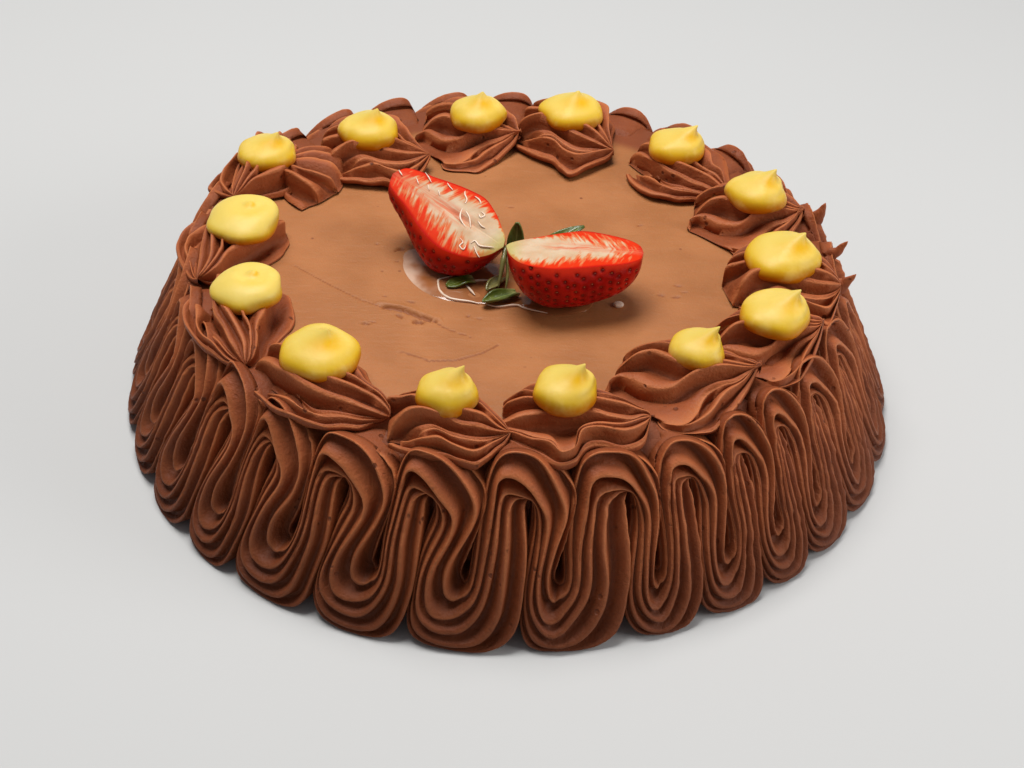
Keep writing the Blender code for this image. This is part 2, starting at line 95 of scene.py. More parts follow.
# Dents in the top in mm: place, length, width, heading in degrees, depth
PITS = (
    (-34.0, 3.5, 3.4, 2.0, 20, 0.9),
    (-35.6, 2.4, 1.6, 1.0, 60, 0.5),
    (-42.0, 5.9, 1.4, 1.1, 0, 0.6),
    (-34.7, -3.7, 1.6, 1.0, 10, 0.5),
    (-39.0, -9.6, 1.0, 0.8, 0, 0.4),
    (-36.9, -23.9, 1.8, 1.0, 0, 0.6),
    (-28.4, -26.3, 3.8, 0.9, -22, 0.6),
    (-41.6, -38.6, 3.0, 1.6, -8, 0.9),
    (-39.8, -37.6, 3.6, 0.7, -15, 0.4),
    (-10.4, -32.8, 1.8, 1.1, 15, 0.6),
    (-7.0, -33.8, 2.2, 0.7, -20, 0.4),
    (44.4, 24.5, 2.6, 1.1, 30, 0.5),
    (0.6, 32.4, 3.4, 0.7, -15, 0.5),
    (-33.4, 34.2, 1.6, 0.9, 0, 0.4),
    (50.0, -16.7, 3.0, 1.4, -25, 0.6),
    (55.6, -11.0, 3.6, 0.9, -10, 0.5),
    (57.4, -14.6, 2.6, 0.8, 5, 0.5),
    (54.7, -17.6, 3.4, 1.3, 8, 0.5),
    (-25.6, -36.8, 4.6, 2.6, -5, 1.2),
    (-31.6, -34.2, 4.0, 1.2, -40, 0.5),
    (-20.6, -36.4, 1.6, 1.2, 0, 0.8),
)
PIT_EDGE = 0.35
PIT_EDGE_SCALE = 1.3

# Long marks in the top in mm: width, depth, lip, points
MARKS = (
    (2.3, 1.0, 0.45, (
        (-36.4, -29.6), (-33.2, -30.2), (-30.3, -31.2), (-27.7, -32.6), (-24.8, -34.4), (-22.0, -35.6),
    )),
    (0.55, 0.3, 0.0, ((-67.1, -8.5), (-54.7, -18.6), (-44.5, -26.2), (-36.0, -30.4))),
    (0.6, 0.3, 0.1, ((-21.0, -36.0), (-17.5, -39.6), (-12.6, -42.4), (-9.0, -44.0))),
    (0.8, 0.25, 0.3, ((-30.0, -52.6), (-20.6, -57.0), (-13.1, -56.4), (-5.5, -52.4), (-0.5, -47.2))),
)
MARK_EDGE = 0.5
MARK_EDGE_SCALE = 0.9

# The lip beside a mark, in widths of the mark: offset, half width, and how far out it is worked out
LIP_OFFSET = 0.8
LIP_HALF_WIDTH = 0.4
LIP_REACH = 1.6

# Side piping: one strand that runs up, over an arch, down and round a bend
ARCH_SHARE = 0.6
LOOP_COUNT = 30

# The loops that face the front: angle of each bend at the foot and of the arch after it, and how
# much that arch is higher than the others in mm
FRONT_LOOPS = (
    (-131.0, -125.5, 1.0),
    (-119.5, -112.0, 0.3),
    (-106.0, -98.8, 1.7),
    (-93.0, -83.9, 3.0),
    (-80.5, -69.2, 1.5),
    (-66.5, -59.0, -0.5),
    (-55.0, -49.0, 0.5),
    (-45.5, -40.0, 1.5),
    (-36.5, -29.0, 1.0),
    (-24.5, -17.0, 1.0),
)
REST_LIFT = 1.4
LIFT_START = 30.0
LIFT_SPAN = 20.0

# Stations of one loop, in the order in which it was piped. For each of the strand's six crests,
# from its left edge: place as a share of the way from arch to arch, height in mm and set-back in
# mm. The last number deepens the hollow after the third crest, in mm.
STATIONS = (
    (
        (-0.58, 18.5, 4.5), (-0.54, 17.0, 1.8), (-0.49, 16.5, 0.8),
        (-0.42, 15.5, 0.3), (-0.28, 13.0, 0.0), (-0.12, 12.0, 1.0), 0.0,
    ),
    (
        (-0.57, 27.0, 5.0), (-0.52, 26.5, 2.5), (-0.46, 26.5, 1.0),
        (-0.38, 26.0, 0.3), (-0.27, 26.0, 0.0), (-0.06, 27.0, 1.0), 0.0,
    ),
    (
        (-0.56, 35.5, 5.5), (-0.51, 36.0, 3.0), (-0.41, 36.5, 0.8),
        (-0.34, 36.5, 0.6), (-0.24, 36.5, 0.5), (-0.07, 36.0, 1.8), 0.3,
    ),
    (
        (-0.52, 44.0, 5.5), (-0.47, 45.2, 3.0), (-0.37, 43.2, 0.2),
        (-0.31, 40.3, 1.5), (-0.22, 38.5, 2.0), (-0.07, 38.3, 3.2), 1.0,
    ),
    (
        (-0.40, 49.0, 5.0), (-0.37, 51.4, 2.0), (-0.35, 46.3, 0.0),
        (-0.26, 41.0, 2.5), (-0.15, 39.4, 3.2), (-0.04, 39.0, 4.5), 2.5,
    ),
    (
        (-0.16, 50.0, 5.0), (-0.20, 52.8, 1.4), (-0.24, 47.0, 0.0),
        (-0.18, 41.3, 2.8), (-0.09, 39.6, 3.6), (-0.02, 39.3, 5.2), 3.0,
    ),
    (
        (0.18, 49.3, 4.0), (0.10, 51.2, 0.6), (-0.06, 44.8, 0.2),
        (-0.04, 40.2, 3.0), (-0.01, 39.4, 4.0), (0.0, 39.0, 5.8), 2.0,
    ),
    (
        (0.44, 46.2, 3.0), (0.29, 46.6, 0.0), (0.09, 40.5, 0.7),
        (0.05, 39.2, 3.0), (0.03, 38.6, 4.2), (0.01, 38.4, 6.5), 0.8,
    ),
    (
        (0.54, 42.3, 2.2), (0.42, 41.0, 0.0), (0.20, 37.5, 0.8),
        (0.11, 36.5, 3.0), (0.06, 36.5, 4.2), (0.03, 36.8, 6.5), 0.4,
    ),
    (
        (0.53, 38.0, 2.2), (0.44, 36.5, 0.0), (0.24, 34.5, 0.6),
        (0.13, 33.5, 2.8), (0.06, 33.5, 4.0), (0.02, 34.5, 6.5), 0.3,
    ),
    (
        (0.47, 32.0, 2.8), (0.35, 30.5, 0.0), (0.20, 30.5, 0.5),
        (0.11, 30.5, 2.2), (0.04, 31.0, 3.5), (-0.01, 31.5, 6.0), 0.0,
    ),
    (
        (0.41, 26.5, 3.6), (0.25, 25.5, 0.2), (0.12, 26.0, 0.3),
        (0.05, 26.3, 1.6), (-0.02, 26.8, 3.0), (-0.06, 27.3, 5.0), 0.0,
    ),
    (
        (0.36, 22.0, 4.6), (0.20, 21.0, 0.5), (0.06, 21.0, 0.2),
        (-0.02, 20.5, 1.0), (-0.08, 20.5, 2.4), (-0.12, 20.5, 4.4), 0.0,
    ),
    (
        (0.34, 19.0, 5.6), (0.22, 16.5, 1.0), (0.05, 14.5, 0.2),
        (-0.05, 13.5, 0.5), (-0.10, 11.5, 1.6), (-0.15, 9.8, 3.2), 0.0,
    ),
    (
        (0.35, 18.0, 6.0), (0.26, 14.5, 1.8), (0.11, 10.0, 0.4),
        (0.03, 7.5, 0.2), (-0.05, 4.5, 1.0), (-0.12, 2.2, 2.2), 0.0,
    ),
    (
        (0.37, 17.0, 6.0), (0.31, 13.8, 2.2), (0.22, 9.0, 0.6),
        (0.20, 5.5, 0.0), (0.19, 2.4, 0.8), (0.18, 0.4, 2.0), 0.0,
    ),
    (
        (0.39, 17.0, 5.5), (0.35, 14.5, 2.2), (0.33, 10.0, 0.8),
        (0.36, 6.0, 0.0), (0.43, 2.6, 0.4), (0.56, 0.4, 1.4), 0.0,
    ),
    (
        (0.40, 17.6, 5.0), (0.38, 15.5, 2.0), (0.41, 12.5, 0.8),
        (0.47, 10.0, 0.2), (0.58, 5.5, 0.2), (0.78, 3.6, 1.0), 0.0,
    ),
)
BEND_SHARE = 0.37
ROWS_PER_STATION = 5
RISING_STATIONS = 3
CHANNEL_SHARES = (0.0, 0.08, 0.17, 0.29, 0.44, 0.62, 0.79, 0.91)
CHANNEL_SKEW = 0.74
CHANNEL_ROUNDNESS = 1.5
CHANNEL_DEPTH = 0.35 * MM
CHANNEL_SLOPE = 0.66
CHANNEL_LIMIT = 5.4 * MM
HOLLOW_CHANNEL = 3
CREST_HALF_WIDTH = 0.5 * MM
CREST_LIMIT = 0.2
# How fast the painted highlight on a crest, and the painted shade in its channel, fall off across it
RIDGE_FALL = 0.7
EDGE_DEPTH = 9.5 * MM
EDGE_RISE = 2.0 * MM
EDGE_STRETCH = 0.25
EDGE_TUCK = 3 * MM
SMOOTH_PASSES = 14
PLACE_JITTER = 0.006
HEIGHT_JITTER = 0.3
DEPTH_JITTER = 0.3
LOOP_JITTER = 0.9
STRAND_DRAW = 7
WOBBLE = 1.0 * MM
WOBBLE_LENGTH = 15 * MM
SIDEWAYS_SEED = 3.0
UPWARDS_SEED = 47.0
STEADY_FOOT = 8 * MM
HIDDEN_DEPTH = 3.6 * MM
HIDDEN_FADE = 2 * MM
TEAR = 0.8 * MM
TEAR_LENGTH = 1.6 * MM
TEAR_SEED = 90.0
TORN_COLUMNS = 13
SMOOTH_TEAR = 0.3
RIGHT_TEAR = 0.9
FLOOR_CLEARANCE = 0.1 * MM

# Ribs of a shell, from its skirt over the top to its far foot. Each rib has nine places from the
# head to the tail in mm: along the way it was piped, to the right of that way, and above the body
SHORT_SHELL = (
    (
        (-13, 15.5, 2), (-9, 18, 2.5), (-4, 19.5, 3), (1, 20, 3), (5.3, 20.5, 3.5),
        (9.4, 23, 3.5), (13.5, 24, 3), (16, 17.5, 3.5), (18.5, 10, 4),
    ),
    (
        (-6, 13.5, 1), (-5.2, 13.3, 2), (-4.9, 12.7, 4), (-3.5, 12.5, 6), (-0.5, 11.7, 6.3),
        (4.5, 12.3, 4.7), (10.1, 11.7, 4), (13.9, 10, 4), (18, 7.7, 5),
    ),
    (
        (-14.1, 12.6, 1), (-13.3, 11.5, 4), (-11.8, 11, 8), (-9, 9.5, 10.5), (-5, 8.6, 11.5),
        (0.2, 8.5, 10), (5.5, 9, 8), (11.7, 8.8, 7), (18, 7.8, 6),
    ),
    (
        (-16.2, 2.5, 2), (-16, 2, 7), (-13, 1.4, 8), (-9, 1, 9), (-4, 3, 9.5),
        (1.6, 6.5, 10), (6.1, 5.6, 11), (10.9, 5.3, 9.5), (17.3, 6.2, 6.5),
    ),
    (
        (-15, -1, 1.5), (-14.5, -1.5, 5), (-11, -2, 7.5), (-6, -2, 9), (-1, -1, 10),
        (4, 0, 10.5), (8.9, 0.5, 10), (12.2, 2.2, 8.5), (17, 4.7, 6.3),
    ),
    (
        (-13, -3, 1), (-12, -4, 4), (-9, -5, 6.5), (-4, -6, 8), (2, -6, 8),
        (7, -5, 8), (9.5, -3.2, 7.5), (13, -0.7, 6.8), (16.8, 3, 5.8),
    ),
    (
        (-12.5, -4, -0.3), (-10.5, -7, -0.3), (-6, -8.5, -0.3), (-1, -9, -0.3), (4, -8.5, -0.3),
        (8.5, -6.5, -0.3), (11.5, -3.5, -0.3), (15, -0.5, -0.3), (17.5, 3, 1.5),
    ),
)
LONG_SHELL = (
    (
        (-9, 19, 2.5), (-4, 22, 3), (2, 24, 3), (7, 24, 3.5), (12, 22.5, 3.5),
        (17, 19, 3), (21, 14.5, 3), (24.5, 10.5, 2.5), (27.5, 6, 2.5),
    ),
    (
        (-3, 13.5, 0.5), (-2, 12, 2), (0, 10.6, 3.4), (2.5, 11.5, 3), (6.1, 13.9, 2.5),
        (11.5, 14.5, 2.7), (17, 11.5, 3.5), (23, 8, 3), (27.4, 4.7, 3),
    ),
    (
        (-17, 10.5, 1), (-16, 10, 5), (-12, 10, 8), (-5, 11.5, 9), (2, 12.4, 9.5),
        (8.5, 11.8, 8.6), (14.5, 9.6, 7.4), (21.6, 6.8, 6.5), (28, 4.5, 4.5),
    ),
    (
        (-18, 4, 2), (-16.5, 3.5, 7), (-12, 3, 9.5), (-5, 6, 11), (2, 9.5, 12),
        (8.5, 8.2, 11.5), (14.7, 5.3, 10), (21.7, 2.6, 8), (28.3, 2.6, 6),
    ),
    (
        (-16, -2, 1.5), (-15, -3, 6), (-11, -3, 9), (-4, 0, 10.5), (4, 2, 11),
        (10.4, 1.9, 11), (16.5, 0.2, 9), (22.2, 0, 8), (28, 1.4, 6),
    ),
    (
        (-14, -6, 1), (-13, -8, 4), (-9, -9, 7), (-2, -7, 8.5), (5, -5, 9),
        (10.1, -3.9, 9), (16, -1.8, 8.2), (22, -1.2, 7), (27.5, 0.4, 5.5),
    ),
    (
        (-13, -7, -0.3), (-9, -12, -0.3), (-4, -13, -0.3), (2, -13, -0.3), (7, -12, -0.3),
        (11, -9.5, -0.3), (16, -6.5, -0.3), (22, -3.8, -0.3), (27, -0.8, 1),
    ),
)
WAVY_SHELL = (
    (
        (-9, 24, 0), (-7, 27, 0), (-2, 28, 0), (3, 27.5, 0), (8, 26, 0.5),
        (11.3, 19, 2), (14, 13.5, 3), (17.5, 6, 5), (18.8, 0, 8),
    ),
    (
        (-9, 23.5, 0.8), (-7, 26, 1.5), (-2, 25.5, 2), (1, 21, 2.2), (2.5, 16, 2.5),
        (5, 12.1, 3.7), (8.5, 10.2, 5.5), (12.5, 8.7, 6.5), (17, 4, 8),
    ),
    (
        (-24.6, 13.6, 1), (-24.6, 11.8, 4), (-21.5, 10, 5.2), (-17.5, 12, 5.7), (-12, 14.8, 5.5),
        (-6, 13.8, 6), (0, 9, 9.5), (8.5, 6.3, 10), (16, 4, 8.7),
    ),
    (
        (-23, 6.5, 1), (-22, 5.8, 5), (-18, 5, 10), (-13, 4, 12), (-8.5, 4.6, 11.3),
        (-3, 7, 10.7), (3, 5.5, 11), (9, 4, 10.5), (16, 2.8, 8.8),
    ),
    (
        (-22, -3, 1), (-21.6, -4, 4), (-17, -4.2, 8), (-12, -4.2, 9.5), (-7, -3, 10),
        (-1, -1, 10.5), (5, 0, 10.5), (11, 0.5, 10), (16.3, 1.2, 8.8),
    ),
    (
        (-18, -7, 1), (-16, -8, 4), (-12, -9, 6.5), (-7, -9, 8), (-1, -8, 9),
        (5, -6, 9), (10, -4, 9), (14, -2, 8.5), (17, 0, 8.3),
    ),
    (
        (-17.5, -8, -0.3), (-14, -11, -0.3), (-9, -12.5, -0.3), (-3, -12.5, -0.3), (3, -11, -0.3),
        (8, -9, -0.3), (12, -7, -0.3), (15.5, -4.5, 0.5), (18, -1, 3),
    ),
)
DRAPED_SHELL = (
    (
        (-17.5, 11.5, 2.5), (-11.5, 17, 3), (-7, 21, 3), (-2.6, 25.5, 2.5), (2, 23.5, 3),
        (5, 16.5, 4), (9.5, 15, 3.5), (16, 16.5, 3), (22, 13, 3),
    ),
    (
        (-17.2, 8.5, 4.5), (-10, 12.5, 5), (-5, 14, 5), (-2.5, 19, 4), (1, 18, 4.5),
        (3, 12.5, 7), (8, 9.8, 7.5), (14.8, 10, 7.2), (21.5, 7.6, 7),
    ),
    (
        (-17.8, 7.2, 5), (-13.3, 6.6, 7), (-7, 6.3, 8), (-2.8, 6.2, 8), (2, 6.4, 8.5),
        (7.9, 6.9, 8.5), (13, 7.6, 8), (18.2, 8.7, 7.5), (22, 7.4, 7.5),
    ),
    (
        (-18, -2, 4), (-16.5, -1, 7), (-12, 0, 9), (-7, 1, 9.5), (-2, 2, 10),
        (4, 2.5, 10.5), (10, 3, 10), (16, 4, 9), (22.5, 5, 7.5),
    ),
    (
        (-18, -8.3, 2), (-15.2, -7.6, 5), (-12.4, -7.5, 6.5), (-8.3, -5, 8), (-4, -4, 9.5),
        (3, -3, 10), (9, -1.5, 9.5), (15.5, 1, 8.5), (22.5, 4, 7),
    ),
    (
        (-15, -12, 1), (-13, -12.5, 4), (-10, -12, 6), (-5, -9.5, 8), (0, -8, 8.5),
        (6, -6.5, 8.5), (11, -4, 8), (16, -0.5, 7.5), (22, 3, 6.5),
    ),
    (
        (-12, -17, -0.3), (-9.5, -17.5, -0.3), (-6, -16, -0.3), (-2, -13.5, -0.3), (3, -11.5, -0.3),
        (8, -9.5, -0.3), (12.5, -6.5, -0.3), (17, -2.5, 0), (22, 1.5, 3),
    ),
)

# For each shell: ribs, the way it was piped in degrees, size, and how far its left and its right
# side reach, as shares of those ribs
SHELLS = (
    (SHORT_SHELL, 4.0, 1.06, 1.9, 1.0),
    (WAVY_SHELL, -12.0, 0.84, 1.9, 1.0),
    (SHORT_SHELL, -30.0, 1.10, 1.8, 1.0),
    (LONG_SHELL, -45.0, 0.84, 1.9, 1.0),
    (WAVY_SHELL, -5.0, 0.86, 1.4, 1.0),
    (SHORT_SHELL, 0.0, 1.12, 1.5, 1.0),
    (WAVY_SHELL, 10.0, 0.86, 1.0, 1.0),
    (WAVY_SHELL, -5.0, 1.0, 0.9, 1.0),
    (DRAPED_SHELL, 5.0, 1.0, 0.8, 1.0),
    (SHORT_SHELL, -9.3, 1.0, 1.0, 1.0),
    (LONG_SHELL, -36.5, 1.0, 1.0, 1.0),
    (LONG_SHELL, -78.0, 1.0, 1.1, 0.88),
    (LONG_SHELL, -108.0, 0.92, 1.1, 0.95),
    (SHORT_SHELL, -100.0, 1.15, 1.3, 0.62),
)
SHELL_ROWS = 60
SHELL_PARTS = (0.0, 0.06, 0.14, 0.28, 0.45, 0.62, 0.76, 0.86, 0.93)
SHELL_SKEW = 2.6
SHELL_OVERHANG = 0.28
SHELL_CHANNEL = 0.9 * MM
SHELL_CHANNEL_SLOPE = 0.62
SHELL_CHANNEL_LIMIT = 6.0 * MM
SHELL_CHANNEL_SHARE = 0.8
SHELL_LIP = 0.6 * MM
SHORTEST_STEP = 0.1 * MM
SHELL_TOP_RIB = 5
SWIRL_TOP_RIB = 4
SHELL_FOOT = 0.5 * MM
# Nearness to a rib given to the tucked edge of a skirt, which sets the painted shade and highlight there
TUCK_RIDGE = 0.4
SHELL_JITTER = 0.45
SHELL_TIP_LENGTH = 2.0
SHELL_FOLD = 0.55 * MM
SHELL_FOLD_LENGTH = 7 * MM
SHELL_BEND_RADIUS = 102 * MM
SHELL_OUTER_LIMIT = 110 * MM
SHELL_LEFT_RISE = 2.5
SHELL_LEFT_SPREAD = 0.38
SHELL_LEFT_FULL = 9.0
FOLD_PLACE = 0.5
FOLD_RISE = 2.6

# How the edge of a skirt is tucked under, from inside: steps out and down in mm
SHELL_TUCK = ((-1.6, 2.6), (-0.4, 1.9), (0.3, 1.2), (0.4, 0.6), (0.25, 0.2))

# The swirl where the piping began is a fan: its centre, the feet of its ribs and their shared tail
# in mm, as above, and each rib's height in mm by its share of the way from foot to tail
SWIRL_CENTRE = (-68.0, 42.0)
SWIRL_TRAVEL = 180.0
SWIRL_FEET = (
    (-2.0, 18.5), (-7.0, 15.5), (-10.8, 8.5), (-11.6, 1.0), (-9.4, -6.3), (-4.4, -13.0), (1.3, -18.0),
)
SWIRL_TAIL = (13.0, 0.0)
SWIRL_PROFILE = (
    (0.0, -0.3), (0.03, 3.5), (0.09, 6.2), (0.2, 7.8), (0.36, 8.6),
    (0.52, 9.0), (0.68, 8.8), (0.84, 8.2), (0.95, 7.5),
)
SWIRL_SWAY = 2.0
SWIRL_EDGE_HEIGHT = 0.5
SWIRL_SEED = 40

# Each drop in mm: angle in degrees, ring radius, width, height, lean to +X and +Y
DROPS = (
    (128.9, 79.0, 21.0, 13.0, 3.0, 0.0),
    (99.1, 78.0, 20.0, 13.0, 1.5, 0.0),
    (75.7, 84.7, 22.5, 12.0, 2.0, 0.5),
    (46.3, 83.1, 20.0, 12.5, 6.5, 0.0),
    (20.3, 88.3, 20.5, 13.5, 5.5, 0.0),
    (-5.3, 88.4, 24.6, 13.5, 6.0, 0.0),
    (-25.5, 92.0, 21.8, 13.0, 6.5, 0.0),
    (-45.9, 83.4, 16.6, 12.5, 6.0, 0.0),
    (-76.7, 85.3, 19.2, 14.0, 5.0, 0.0),
    (-99.3, 87.5, 17.5, 14.0, 5.0, 0.0),
    (-126.5, 86.9, 23.4, 13.0, 2.5, 0.0),
    (-153.5, 86.8, 21.6, 9.5, 2.5, 2.0),
    (179.8, 84.4, 22.9, 9.5, 2.5, 2.5),
    (152.0, 93.7, 20.3, 12.0, 4.0, 0.0),
)
DROP_BASE = 55.5 * MM
FLAT_DROP_HEIGHT = 10.0
SEAT_RISE = 0.42
# Painted shade on the side of a drop's tip that is turned from the light: the way it faces, then its
# level and spread as shares of the height, for peaked and flat drops
TIP_SHADE_TURN = math.radians(25)
PEAKED_TIP_SHADE = (0.76, 0.13)
FLAT_TIP_SHADE = (0.96, 0.055)
DROP_TIP_START = 0.5
DROP_LEAN_CURVE = 1.15
DROP_UNEVEN = 0.14
DROP_UNEVEN_SCALE = 1.1
DROP_WAVE = 0.25 * MM
DROP_WAVE_LENGTH = 6 * MM
DROP_SEED_STEP = 3.7
DROP_SEGMENTS = 48
DROP_RINGS = 34

# Profiles of a drop: share of the half width and share of the height
PEAKED_PROFILE = (
    (0.0, 0.0), (0.55, 0.0), (0.86, 0.07), (0.99, 0.20), (1.0, 0.32), (0.95, 0.44), (0.84, 0.54),
    (0.71, 0.61), (0.57, 0.66), (0.43, 0.72), (0.30, 0.79), (0.19, 0.86), (0.10, 0.93),
    (0.04, 0.98), (0.0, 1.0),
)
FLAT_PROFILE = (
    (0.0, 0.0), (0.6, 0.0), (0.9, 0.12), (1.0, 0.36), (0.94, 0.62), (0.77, 0.80),
    (0.54, 0.89), (0.33, 0.89), (0.20, 0.90), (0.10, 0.97), (0.04, 1.0), (0.0, 1.0),
)

# Outlines of the strawberry halves: share of the length, then share of the half width or depth
LEFT_BACK_EDGE = (
    (0.0, 0.0), (0.04, 0.22), (0.12, 0.40), (0.22, 0.60), (0.34, 0.74), (0.48, 0.70),
    (0.62, 0.60), (0.75, 0.50), (0.88, 0.40), (0.96, 0.28), (1.0, 0.0),
)
LEFT_FRONT_EDGE = (
    (0.0, 0.0), (0.03, 0.36), (0.10, 0.70), (0.20, 0.94), (0.32, 1.05), (0.45, 1.0),
    (0.60, 0.82), (0.75, 0.62), (0.88, 0.46), (0.96, 0.32), (1.0, 0.0),
)
LEFT_DEPTH = (
    (0.0, 0.0), (0.03, 0.35), (0.10, 0.66), (0.20, 0.90), (0.32, 1.0), (0.5, 0.95),
    (0.68, 0.80), (0.82, 0.66), (0.92, 0.52), (0.98, 0.33), (1.0, 0.0),
)
RIGHT_FRONT_EDGE = (
    (0.0, 0.0), (0.03, 0.42), (0.10, 0.78), (0.20, 1.0), (0.32, 1.06), (0.48, 1.0),
    (0.64, 0.86), (0.80, 0.70), (0.92, 0.50), (0.98, 0.28), (1.0, 0.0),
)
RIGHT_BACK_EDGE = (
    (0.0, 0.0), (0.03, 0.16), (0.12, 0.36), (0.25, 0.58), (0.40, 0.80), (0.53, 0.97),
    (0.66, 0.95), (0.80, 0.78), (0.92, 0.56), (0.98, 0.32), (1.0, 0.0),
)
RIGHT_DEPTH = (
    (0.0, 0.0), (0.03, 0.32), (0.10, 0.62), (0.20, 0.87), (0.32, 1.0), (0.5, 0.98),
    (0.68, 0.88), (0.82, 0.74), (0.92, 0.54), (0.98, 0.30), (1.0, 0.0),
)

# Strawberry halves: name, place of the stem, then heading, rise and roll in degrees, then half width,
# depth and length in mm, the two edges, the depth outline, the widths of the red band at the stem and
# at the tip along each edge, and how much the skin bulges beyond each edge of the cut
BERRIES = (
    (
        "left", (-0.5, -12.0), (147.0, 14.0, 20.0), (15.5, 15.0, 45.0),
        (LEFT_BACK_EDGE, LEFT_FRONT_EDGE), LEFT_DEPTH, ((0.14, 0.50), (0.33, 0.64)), (0.35, 0.95),
    ),
    (
        "right", (0.5, -20.0), (-1.0, 0.0, 9.0), (15.5, 18.0, 42.5),
        (RIGHT_FRONT_EDGE, RIGHT_BACK_EDGE), RIGHT_DEPTH, ((0.16, 0.50), (0.06, 0.66)), (0.35, 0.3),
    ),
)
BERRY_ROWS = 120
BERRY_SKIN_COLUMNS = 84
BERRY_FACE_COLUMNS = 72
OUTLINE_POINTS = 120
SEED_ROWS = 15
SEED_DRAW = 3
FIRST_SEED_ROW = 0.07
SEED_ROW_SPAN = 0.88
SEED_EDGE = 0.05
SEED_SPACING = 2.9 * MM
SEED_PIT_RADIUS = 1.05 * MM
SEED_PIT_DEPTH = 0.5 * MM
SEED_SIZE = (0.40 * MM, 0.24 * MM, 0.176 * MM)
SEED_SINK = 0.48 * MM
SEED_JITTER = 0.2
RIM_WAVE = 0.035
RIM_WAVE_SCALE = 6
SKIN_WAVE = 0.5 * MM
SKIN_WAVE_LENGTH = 9 * MM

# The cut face: its dome, the hollow core (depth, half width, place and reach along the face), the
# ripples, and where the red band widens, as shares of the face
FACE_DOME = 0.9 * MM
CORE_DEPTH = 0.8 * MM
CORE_HALF_WIDTH = 0.12
CORE_PLACE = 0.36
CORE_REACH = 0.16
RIPPLE = 0.35 * MM
RIPPLE_SCALE = (22, 3)
BAND_START = 0.15
BAND_SPAN = 0.45

# Calyx leaves: place on the cake, heading, length, width, height of the curl, tilt, how far the
# sides roll up in degrees, and how pale each is
LEAVES = (
    (3.0, -4.0, 80.0, 14.0, 6.0, 4.0, 62.0, 50.0, 0.15),
    (12.5, -0.5, 20.0, 16.0, 8.0, -6.0, 60.0, 60.0, 0.0),
    (-9.5, -13.5, 208.0, 9.5, 5.5, 0.6, 0.0, 40.0, 0.0),
    (0.0, -12.5, 240.0, 10.0, 5.5, 1.0, 4.0, 90.0, 0.9),
    (4.5, -20.5, 215.0, 13.0, 6.5, 1.5, 2.0, 70.0, 0.1),
)
LEAF_ROWS = 30
LEAF_COLUMNS = 12
LEAF_THICKNESS = 0.6 * MM
LEAF_LIFT = 0.5 * MM

# A leaf's outline is a stretch of half a sine wave, raised to a power: start, span and far limit
LEAF_START = 0.12
LEAF_SPAN = 0.87
LEAF_LIMIT = 0.985
LEAF_FULLNESS = 0.55
LEAF_SWAY = 0.35
LEAF_RUFFLE = 0.35
MIDRIB_NARROWNESS = 5
SIDE_VEINS = 6
SIDE_VEIN_SLANT = 1.4
SIDE_VEIN_STRENGTH = 0.6

# The stalk's torn end between the halves: half width and places, in mm
STALK = (
    (0.8, (
        (3.0, -4.5, 57.0), (1.0, -7.5, 59.0), (0.2, -10.5, 59.8),
        (-0.3, -14.0, 58.0), (-0.9, -17.0, 54.5), (-1.6, -19.5, 50.6),
    )),
    (0.5, ((0.8, -9.0, 59.0), (0.9, -13.0, 57.0), (1.2, -16.5, 53.5), (0.8, -19.5, 50.5))),
    (0.45, ((1.5, -8.0, 58.0), (5.5, -4.0, 56.5), (9.5, -2.0, 55.0), (13.0, -0.8, 52.5))),
)
STALK_PALENESS = 0.7

# Pool of clear glaze: centre and outline in mm, on the top of the body
GLAZE_CENTRE = (-6.0, -17.0)
GLAZE_OUTLINE = (
    (-32.8, 1.8), (-32.4, -7.6), (-29.0, -15.4), (-24.5, -20.7), (-19.6, -24.0), (-13.8, -25.4),
    (-8.5, -25.8), (-3.8, -26.8), (0.6, -27.8), (5.0, -26.4), (9.2, -28.4), (14.4, -30.2),
    (19.1, -30.9), (24.0, -28.8), (28.0, -24.6), (27.0, -18.0), (18.0, -12.0), (8.0, -6.0),
    (0.0, -3.0), (-9.0, -1.0), (-18.0, 5.0), (-26.0, 8.0),
)
GLAZE_THICKNESS = 0.9 * MM
GLAZE_SINK = 0.3 * MM
GLAZE_FLOOR = 0.5 * MM
GLAZE_RIM = 10
GLAZE_LEVEL = 0.6
GLAZE_RIPPLE = 0.8
GLAZE_RIPPLE_LENGTH = 6 * MM
GLAZE_RINGS = 18
GLAZE_STEPS = 8
MILKY_PLACE = (-27.0, -11.0)
MILKY_REACH = 13.0
